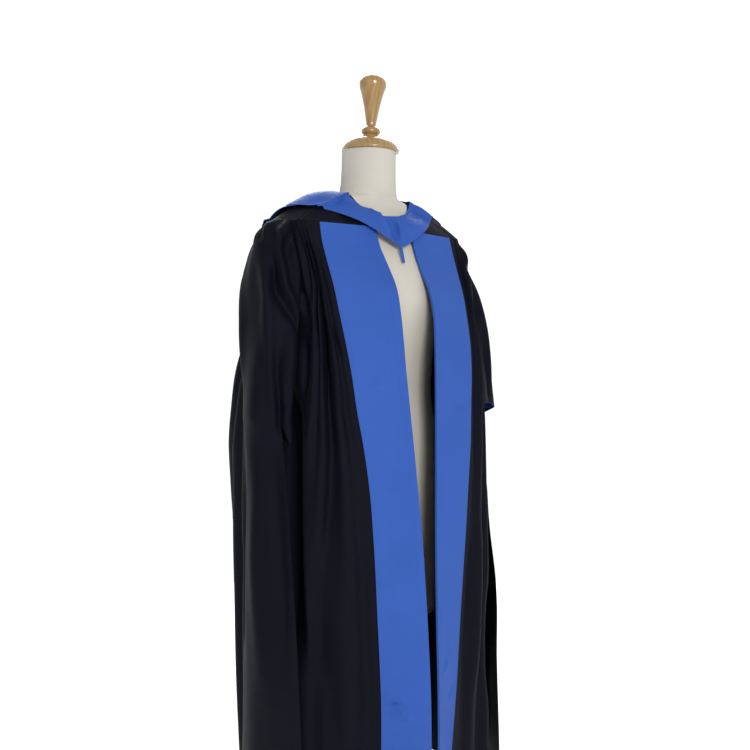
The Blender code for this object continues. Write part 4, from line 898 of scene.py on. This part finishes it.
def makeSleeve(side):
    piece = sleevePiece
    opening = piece["opening"][side]
    columns, rows = piece["round"], piece["rows"]
    first, last = (round(columns * share) for share in opening)
    flip = -1.0 if side == "right" else 1.0
    places = np.arange(columns) / columns
    ring = armholeRing(side, places)
    ring[:, 0] += flip * piece["gap"]
    table = roundTable((*piece["elbows"][side], *piece["rearElbows"]), places)
    elbow, start, lean = (table[:, n:n + 3] * np.array([flip, -1.0, 1.0]) for n in (0, 3, 6))
    grid = np.zeros((rows + piece["openRows"], columns, 3))
    for i, t in enumerate(np.linspace(0.0, 1.0, rows) ** piece["rowGrowth"]):
        grid[i] = ((2 * t**3 - 3 * t**2 + 1) * ring + (t**3 - 2 * t**2 + t) * start
                   + (3 * t**2 - 2 * t**3) * elbow + (t**3 - t**2) * lean)
    for j, place in enumerate(places):
        if first < j < last:
            grid[rows:, j] = elbow[j]
        else:
            grid[rows:, j] = openSleeveLine(side, place, opening, elbow[j], piece["openRows"])
    normal = sleeveNormals(grid, first, last, rows)
    share = np.linspace(0.0, 1.0, rows)[:, None]
    depth = piece["gatherDepth"] * (1 - ramp(share, 0.0, piece["gatherReach"]))
    depth = depth * ramp(share, *piece["gatherStart"])
    head = np.sqrt(np.maximum(0.0, np.cos(2 * math.pi * places)))
    push = np.zeros(grid.shape[:2])
    push[:rows] = depth * head * np.cos(2 * math.pi * piece["gathers"] * places)
    around = np.tile(np.where(places > piece["wrapAt"], places - 1, places), (len(grid), 1))
    metres = around * piece["aroundMetres"]
    push += creasePush(piece["creases"][side], metres, grid[..., 2]) * piece["creaseGain"]
    spots = grid * np.array([1.0, 1.0, clothBuild["swellDown"]]) + clothBuild["sleeveShift"][side]
    sewn = ramp(np.arange(len(grid)) / rows, 0.0, piece["sewnShare"])[:, None]
    push += softNoise(spots, piece["unevenSize"], piece["unevenDepth"]) * sewn
    grid = grid + normal * push[..., None]
    normal = sleeveNormals(grid, first, last, rows)

    def hangs(i, j):
        # the cells of the closed sleeve, and of what hangs below its mouth
        return (i < rows - 1) | ~((j >= first) & (j < last))

    thick = gownBody["blackThickness"]
    name = "sleeve_" + side
    sleeve = clothPiece(name + "_cloth", grid, grid - normal * thick, blackCloth, name,
                        closed=True, hangs=hangs)
    back = round(columns * piece["liningBack"])
    inside = [j % columns for j in range(-back, last - back)]
    band = slice(rows - piece["liningRows"], rows - piece["setBack"][side])
    outer = grid[band][:, inside] - normal[band][:, inside] * (thick + gownBody["seamGap"])
    inner = outer - normal[band][:, inside] * gownBody["satinThickness"]
    lining = clothPiece("sleeve_lining_" + side + "_satin", outer, inner, satin, "sleeve_lining_" + side)


# Hood.
hoodPiece = {
    # girth, start of the shell, reach of the shell, start of the lining, reach of the lining
    "reach": (
        (0.34, 0.008, 0.088, 0.004, 0.097),
        (0.42, 0.004, 0.128, 0.001, 0.14),
        (0.52, 0.0, 0.154, 0.0, 0.166),
        (0.62, -0.006, 0.2, -0.001, 0.19),
        (0.75, -0.012, 0.36, -0.002, 0.24),
        (0.88, -0.014, 0.53, -0.004, 0.3),
        (1.0, -0.014, 0.62, -0.004, 0.33),
    ),
    "rest": 0.0006, "clear": 0.012, "clearFrom": 0.1, "clearFull": 0.24, "stand": 0.1, "yokeArc": 1.04,
    "liningRest": 0.0015, "puff": 0.0025, "puffLean": 0.8,
    "shellRows": 90, "shellColumns": 170, "liningRows": 70, "liningColumns": 190, "unevenSize": 0.07,
    "unevenDepth": 0.002, "lift": 0.0008, "shellCut": (0.62, 0.66), "shellArea": 0.249,
    "liningCut": (0.66, 0.34), "liningArea": 0.138,
}


def hoodPoints(girth, reach):
    yokeNow, neck, seam = yokePoints(girth, np.zeros_like(reach))
    length = np.linalg.norm(seam - neck, axis=-1) * hoodPiece["yokeArc"]
    share = np.clip(reach / length, 0.0, 1.0)
    onYoke = yokePoints(girth, share)[0]
    stand = neck * np.array([1 + hoodPiece["stand"], 1 + hoodPiece["stand"], 1.0])
    stand[..., 2] -= reach
    where = np.minimum(girth, 2 - girth)
    below = seam[..., 2] - (reach - length)
    right, left = (bodyPoints(side, where, below, folded=False) for side in ("right", "left"))
    onBody = np.where((girth <= 1.0)[..., None], right, left)
    place = np.where((reach <= length)[..., None], onYoke, onBody)
    return np.where((reach < 0)[..., None], stand, place)


def hoodGrid(startColumn, rows, columns):
    table = np.array(hoodPiece["reach"])
    girths = np.linspace(table[0, 0], 2 - table[0, 0], columns)
    ends = readCurve(table[:, 0], table[:, startColumn:startColumn + 2], np.minimum(girths, 2 - girths))
    share = np.linspace(0.0, 1.0, rows)[:, None]
    reach = ends[:, 0] + (ends[:, 1] - ends[:, 0]) * share
    girth = np.tile(girths, (rows, 1))
    grid = hoodPoints(girth, reach)
    return grid, girth, reach, turnedOut(grid, gridNormals(grid))


def makeHood(under):
    piece = hoodPiece
    black, blue = gownBody["blackThickness"], gownBody["satinThickness"]
    shell, girth, reach, normal = hoodGrid(1, piece["shellRows"], piece["shellColumns"])
    off = piece["clear"] * ramp(reach, piece["clearFrom"], piece["clearFull"])
    shell = shell + normal * (piece["rest"] + off + black)[..., None]
    shell = liftClear(shell, under, black + piece["lift"])
    normal = turnedOut(shell, gridNormals(shell))
    shellPiece = clothPiece("hood_shell_cloth", shell, shell - normal * black, blackCloth, "hood_shell")
    under = [*under, faceOf(shell, normal)]
    lining, girth, reach, normal = hoodGrid(3, piece["liningRows"], piece["liningColumns"])
    share = np.linspace(0.0, 1.0, piece["liningRows"])[:, None]
    puff = piece["puff"] * np.sin(math.pi * share ** piece["puffLean"])
    off = piece["clear"] * ramp(reach, piece["clearFrom"], piece["clearFull"])
    lining = lining + normal * (piece["rest"] + off + black + piece["liningRest"] + puff + blue)[..., None]
    lining += normal * softNoise(lining, piece["unevenSize"], piece["unevenDepth"])[..., None]
    lining = liftClear(lining, under, blue + piece["lift"])
    normal = turnedOut(lining, gridNormals(lining))
    liningPiece = clothPiece("hood_lining_satin", lining, lining - normal * blue, satin, "hood_lining")
    return [*under, faceOf(lining, normal)]


# The hood's neckband and its loop.
bandPiece = {
    "rows": 44, "columns": 199, "cut": (0.5, 0.145), "area": 0.034, "stitchRow": -4,
    # top out, forward, height; low out, forward, height; swell
    "stations": (
        (-0.088, -0.038, 1.531, -0.212, 0.002, 1.479, 0.004),
        (-0.088, -0.006, 1.5275, -0.182, 0.046, 1.474, 0.005),
        (-0.084, 0.03, 1.5095, -0.138, 0.066, 1.469, 0.005),
        (-0.067, 0.058, 1.493, -0.098, 0.093, 1.453, 0.006),
        (-0.045, 0.078, 1.48, -0.066, 0.111, 1.435, 0.005),
        (-0.022, 0.085, 1.4735, -0.034, 0.119, 1.4165, 0.003),
        (0.0, 0.086, 1.4715, 0.0, 0.121, 1.4015, -0.004),
        (0.022, 0.085, 1.4735, 0.034, 0.119, 1.4165, 0.003),
        (0.045, 0.078, 1.48, 0.066, 0.111, 1.435, 0.005),
        (0.067, 0.058, 1.493, 0.098, 0.093, 1.453, 0.006),
        (0.084, 0.03, 1.5095, 0.129, 0.064, 1.4705, 0.005),
        (0.087, -0.006, 1.527, 0.15, 0.035, 1.485, 0.004),
    ),
    "swellForward": 0.5, "swellUp": 0.8, "rest": 0.0003, "point": 6,
    # creases as lines through (metres along the band from its point, metres down from its top edge)
    "creases": (
        (((-0.056, 0.0), (-0.043, 0.022), (-0.024, 0.052)), 0.007, 0.0075),
        (((-0.018, -0.004), (-0.012, 0.03), (-0.003, 0.062)), 0.013, -0.0105),
        (((0.009, 0.008), (0.013, 0.03), (0.012, 0.056)), 0.006, 0.0075),
        (((-0.3, 0.04), (-0.22, 0.036), (-0.14, 0.046)), 0.006, -0.004),
        (((-0.26, 0.012), (-0.2, 0.016), (-0.12, 0.018)), 0.008, 0.004),
        (((0.06, 0.014), (0.1, 0.026), (0.14, 0.03)), 0.006, -0.0035),
        (((0.04, 0.03), (0.08, 0.044), (0.12, 0.052)), 0.008, 0.003),
    ),
    "loopWidth": 0.007, "loopLength": 0.034, "loopForward": 0.01, "loopThickness": 0.0022,
    "loopRows": 24, "loopColumns": 9,
}


def makeNeckband(under):
    piece = bandPiece
    blue = gownBody["satinThickness"]
    stations = piece["stations"]
    last = len(stations) - 1
    table = readCurve(range(last + 1), stations, np.linspace(0, last, piece["columns"]))
    share = np.linspace(0.0, 1.0, piece["rows"])[:, None, None]
    top = table[:, :3] * np.array([1.0, -1.0, 1.0])
    low = table[:, 3:6] * np.array([1.0, -1.0, 1.0])
    grid = top + (low - top) * share
    swell = table[:, 6] * np.sin(math.pi * share[..., 0])
    grid[..., 1] -= swell * piece["swellForward"]
    grid[..., 2] += swell * piece["swellUp"]
    point = round(piece["point"] * (piece["columns"] - 1) / last)
    along = lengthsAlong(grid, 1)
    push = creasePush(piece["creases"], along - along[:, point:point + 1], lengthsAlong(grid, 0))
    grid = grid + turnedOut(grid, gridNormals(grid)) * push[..., None]
    grid = liftClear(grid, under, blue + piece["rest"])
    normal = levelRow(turnedOut(grid, gridNormals(grid)), -1)
    band = clothPiece("hood_neckband_satin", grid, grid - normal * blue, satin, "hood_neckband")
    row = piece["stitchRow"]
    sewn = stitchRow("hood_neckband_stitches", grid[row], normal[row], satinThread)
    loop = makeLoop(grid[-1, point])


def makeLoop(point):
    # a narrow strip, folded double, that hangs from the neckband's point
    piece = bandPiece
    share, place = np.meshgrid(np.linspace(0.0, 1.0, piece["loopRows"]),
                               np.linspace(-0.5, 0.5, piece["loopColumns"]), indexing="ij")
    top = point - np.array([0.0, 0.0, gownBody["seamGap"]])
    grid = np.stack([top[0] + piece["loopWidth"] * place, top[1] - piece["loopForward"] * share,
                     top[2] - piece["loopLength"] * share], axis=-1)
    behind = grid + np.array([0.0, piece["loopThickness"], 0.0])
    return clothPiece("hood_loop_satin", grid, behind, satin, "hood_loop")


# Dress form.
formShape = {
    # height, half width, front, back
    "levels": (
        (0.6, 0.177, 0.11, 0.104),
        (0.64, 0.18, 0.113, 0.108),
        (0.75, 0.182, 0.12, 0.118),
        (0.87, 0.183, 0.125, 0.127),
        (0.95, 0.18, 0.128, 0.124),
        (1.02, 0.174, 0.124, 0.104),
        (1.09, 0.165, 0.112, 0.086),
        (1.16, 0.166, 0.118, 0.09),
        (1.23, 0.169, 0.137, 0.101),
        (1.29, 0.168, 0.15, 0.11),
        (1.34, 0.176, 0.137, 0.113),
        (1.39, 0.186, 0.11, 0.108),
        (1.43, 0.196, 0.09, 0.094),
        (1.455, 0.2, 0.078, 0.08),
        (1.469, 0.197, 0.072, 0.073),
        (1.4759, 0.189, 0.069, 0.069),
        (1.482, 0.179, 0.066, 0.065),
        (1.493, 0.159, 0.063, 0.059),
        (1.502, 0.139, 0.061, 0.055),
        (1.509, 0.119, 0.061, 0.052),
        (1.514, 0.099, 0.062, 0.05),
        (1.5175, 0.08, 0.063, 0.049),
        (1.526, 0.069, 0.066, 0.047),
        (1.54, 0.0645, 0.0685, 0.046),
        (1.57, 0.061, 0.0705, 0.045),
        (1.6, 0.0595, 0.0725, 0.0445),
        (1.623, 0.0595, 0.0735, 0.0435),
    ),
    "neckForward": 0.015, "neckTilt": math.radians(4.0), "tiltStart": 1.54, "sides": 80,
    # heights between which the torso's rows lie, and how many there are
    "rows": ((0.6, 1.43, 80), (1.43, 1.623, 56)),
}


def makeTorso():
    shape = formShape
    levels = np.array(shape["levels"])
    lower, upper = (np.linspace(*reach) for reach in shape["rows"])
    heights = np.concatenate([lower, upper[1:]])
    rows = readCurve(levels[:, 0], levels[:, 1:], heights)
    angles = 2 * math.pi * np.arange(shape["sides"]) / shape["sides"]
    depth = np.where(np.sin(angles) < 0, rows[:, 1:2], rows[:, 2:3])
    x, y = rows[:, :1] * np.cos(angles), depth * np.sin(angles)
    tilt = (y + shape["neckForward"]) * math.tan(shape["neckTilt"])
    z = heights[:, None] + tilt * ramp(heights, shape["tiltStart"], levels[-1, 0])[:, None]
    grid = np.stack([x, y, z + np.zeros_like(x)], axis=-1)
    count, sides = grid.shape[:2]
    faces = []
    for n in range(count - 1):
        for i in range(sides):
            k = (i + 1) % sides
            faces.append([n * sides + i, n * sides + k, (n + 1) * sides + k, (n + 1) * sides + i])
    faces += [list(range(sides))[::-1], list(range((count - 1) * sides, count * sides))]
    mesh = bpy.data.meshes.new("form_torso_jersey")
    mesh.from_pydata(grid.reshape(-1, 3).tolist(), [], faces)
    weave = mesh.uv_layers.new(name="weave")
    along = np.stack([lengthsAlong(grid, 1), lengthsAlong(grid, 0)], axis=2).reshape(-1, 2)
    corner = np.zeros(len(mesh.loops), int)
    mesh.loops.foreach_get("vertex_index", corner)
    weave.data.foreach_set("uv", along[corner].ravel())
    made = finishPiece("form_torso_jersey", mesh, jersey, "form_torso")
    return BVHTree.FromPolygons(grid.reshape(-1, 3).tolist(), faces)


turnedWood = {
    # sides, rings, and the profile as radius and height
    "form_neck_cap": (96, 60, (
        (0.0, 0.0), (0.062, 0.0), (0.0628, 0.003), (0.0615, 0.008), (0.056, 0.0165), (0.044, 0.0245),
        (0.027, 0.0295), (0.015, 0.0305), (0.0, 0.0305),
    )),
    "form_finial": (72, 110, (
        (0.0, 0.0308), (0.018, 0.0308), (0.0185, 0.034), (0.016, 0.0358), (0.0195, 0.0398), (0.0208, 0.044),
        (0.0195, 0.049), (0.015, 0.053), (0.0112, 0.056), (0.0108, 0.06), (0.0125, 0.07), (0.0185, 0.102),
        (0.0255, 0.129), (0.03, 0.143), (0.0303, 0.149), (0.027, 0.157), (0.019, 0.163), (0.014, 0.164),
        (0.0, 0.164),
    )),
    "form_base": (128, 60, (
        (0.0, 0.0), (0.19, 0.0), (0.193, 0.003), (0.193, 0.014), (0.188, 0.02), (0.13, 0.024),
        (0.05, 0.028), (0.03, 0.04), (0.024, 0.055), (0.0, 0.055),
    )),
}


def turnedPiece(node, place, tilt):
    # turned on a lathe: a round face drawn up ring by ring along its profile
    sides, steps, profile = turnedWood[node]
    name = node + "_turned"
    outline = np.array(profile[1:-1])
    lengths = np.concatenate([[0.0], np.cumsum(np.linalg.norm(np.diff(outline, axis=0), axis=1))])
    rings = readCurve(lengths, outline, np.linspace(0.0, lengths[-1], steps))
    bpy.ops.object.select_all(action="DESELECT")
    bpy.ops.mesh.primitive_circle_add(vertices=sides, radius=rings[0][0], fill_type="NGON",
                                      location=(0.0, 0.0, rings[0][1]))
    made = bpy.context.object
    made.name = made.data.name = name
    bpy.ops.object.mode_set(mode="EDIT")
    bpy.ops.mesh.select_all(action="SELECT")
    for low, high in zip(rings, rings[1:]):
        bpy.ops.mesh.extrude_region_move(TRANSFORM_OT_translate={"value": (0.0, 0.0, high[1] - low[1])})
        bpy.ops.transform.resize(value=(high[0] / low[0], high[0] / low[0], 1.0))
    bpy.ops.mesh.select_all(action="SELECT")
    bpy.ops.mesh.normals_make_consistent(inside=False)
    bpy.ops.object.mode_set(mode="OBJECT")
    made.rotation_euler = (tilt, 0.0, 0.0)
    made.location = (place[0], place[1], made.location[2] + place[2])
    bpy.ops.object.transform_apply(location=True, rotation=True, scale=True)
    bpy.ops.object.shade_smooth_by_angle(angle=math.radians(40))
    made.data.materials.append(wood)
    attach(made, "root")
    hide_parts(node)
    return made


formFace = makeTorso()
neckTop = (0.0, -formShape["neckForward"], formShape["levels"][-1][0] + gownBody["seamGap"])
turnedPiece("form_neck_cap", neckTop, formShape["neckTilt"])
turnedPiece("form_finial", neckTop, formShape["neckTilt"])
turnedPiece("form_base", (0.0, 0.0, 0.0), 0.0)
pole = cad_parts["form_pole"]
for n in range(len(pole.material_slots)):
    pole.material_slots[n].material = steel
print("dress form made")

for side in ("right", "left"):
    makeFront(side)
print("fronts and facings made")
for side in ("right", "left"):
    makeSleeve(side)
print("sleeves made")
backFace = makeBack()
yokeFace = makeYoke(formFace)
print("back and yoke made")
makeNeckband(makeHood([formFace, backFace, yokeFace]))
print("hood made")


# Floor, light and camera.
studio = {
    "floorRadius": 3.0, "floorColour": (0.94, 0.94, 0.94), "floorRoughness": 0.9, "sky": (0.97, 0.985, 1.0),
    # the studio is white behind the gown and dimmer on the camera's side
    "skyBehind": 1.09, "skyFront": 0.49, "skyTurn": (-0.4, 0.7),
    # place, aimed at, width and height, watts, colour
    "lights": (
        ((-1.2, -3.15, 2.0), (0.0, 0.0, 1.1), 1.0, 71.0, (1.0, 0.985, 0.96)),
        ((3.2, 4.2, 4.5), (2.2, 3.2, 0.0), 4.0, 420.0, (1.0, 1.0, 1.0)),
    ),
}
cameraView = {"azimuth": -38.0, "distance": 2.0, "aside": 0.019, "height": 1.13, "lens": 43.2, "sensor": 36.0,
              "nearest": 0.05}


def lookAt(place, target):
    away = np.array(target) - np.array(place)
    flat = math.hypot(away[0], away[1])
    return (math.pi / 2 + math.atan2(away[2], flat), 0.0, math.atan2(-away[0], away[1]))


def makeStudio():
    bpy.ops.object.select_all(action="DESELECT")
    bpy.ops.mesh.primitive_circle_add(vertices=96, radius=studio["floorRadius"], fill_type="NGON")
    floor = bpy.context.object
    floor.name = "studio_floor"
    floor.data.materials.append(newFinish("studio_floor", studio["floorColour"], studio["floorRoughness"])[0])
    world = bpy.context.scene.world or bpy.data.worlds.new("studio")
    bpy.context.scene.world = world
    world.use_nodes = True
    tree = world.node_tree
    sky = tree.nodes["Background"]
    sky.inputs["Color"].default_value = (*studio["sky"], 1.0)
    turn = math.radians(-cameraView["azimuth"])
    where = addNode(tree, "ShaderNodeTexCoord")
    behind = addNode(tree, "ShaderNodeVectorMath", {1: (math.sin(turn), math.cos(turn), 0.0)},
                     operation="DOT_PRODUCT")
    tree.links.new(where.outputs["Generated"], behind.inputs[0])
    bright = addNode(tree, "ShaderNodeMapRange", {
        "From Min": studio["skyTurn"][0], "From Max": studio["skyTurn"][1],
        "To Min": studio["skyFront"], "To Max": studio["skyBehind"]}, interpolation_type="SMOOTHSTEP")
    tree.links.new(behind.outputs["Value"], bright.inputs["Value"])
    tree.links.new(bright.outputs["Result"], sky.inputs["Strength"])
    for n, (place, target, size, watts, colour) in enumerate(studio["lights"]):
        bpy.ops.object.light_add(type="AREA", location=place, rotation=lookAt(place, target))
        light = bpy.context.object
        light.name = "studio_light_" + str(n + 1)
        light.data.size = size
        light.data.energy = watts
        light.data.color = colour


def makeCamera():
    turn = math.radians(-cameraView["azimuth"])
    right, forward = np.array([math.cos(turn), -math.sin(turn)]), np.array([math.sin(turn), math.cos(turn)])
    place = right * cameraView["aside"] - forward * cameraView["distance"]
    bpy.ops.object.camera_add(location=(place[0], place[1], cameraView["height"]),
                              rotation=(math.pi / 2, 0.0, -turn))
    camera = bpy.context.object
    camera.name = "photo_camera"
    camera.data.lens = cameraView["lens"]
    camera.data.sensor_width = cameraView["sensor"]
    camera.data.clip_start = cameraView["nearest"]
    bpy.context.scene.camera = camera


makeStudio()
makeCamera()
bpy.context.scene.view_settings.view_transform = "Standard"
print("studio ready")
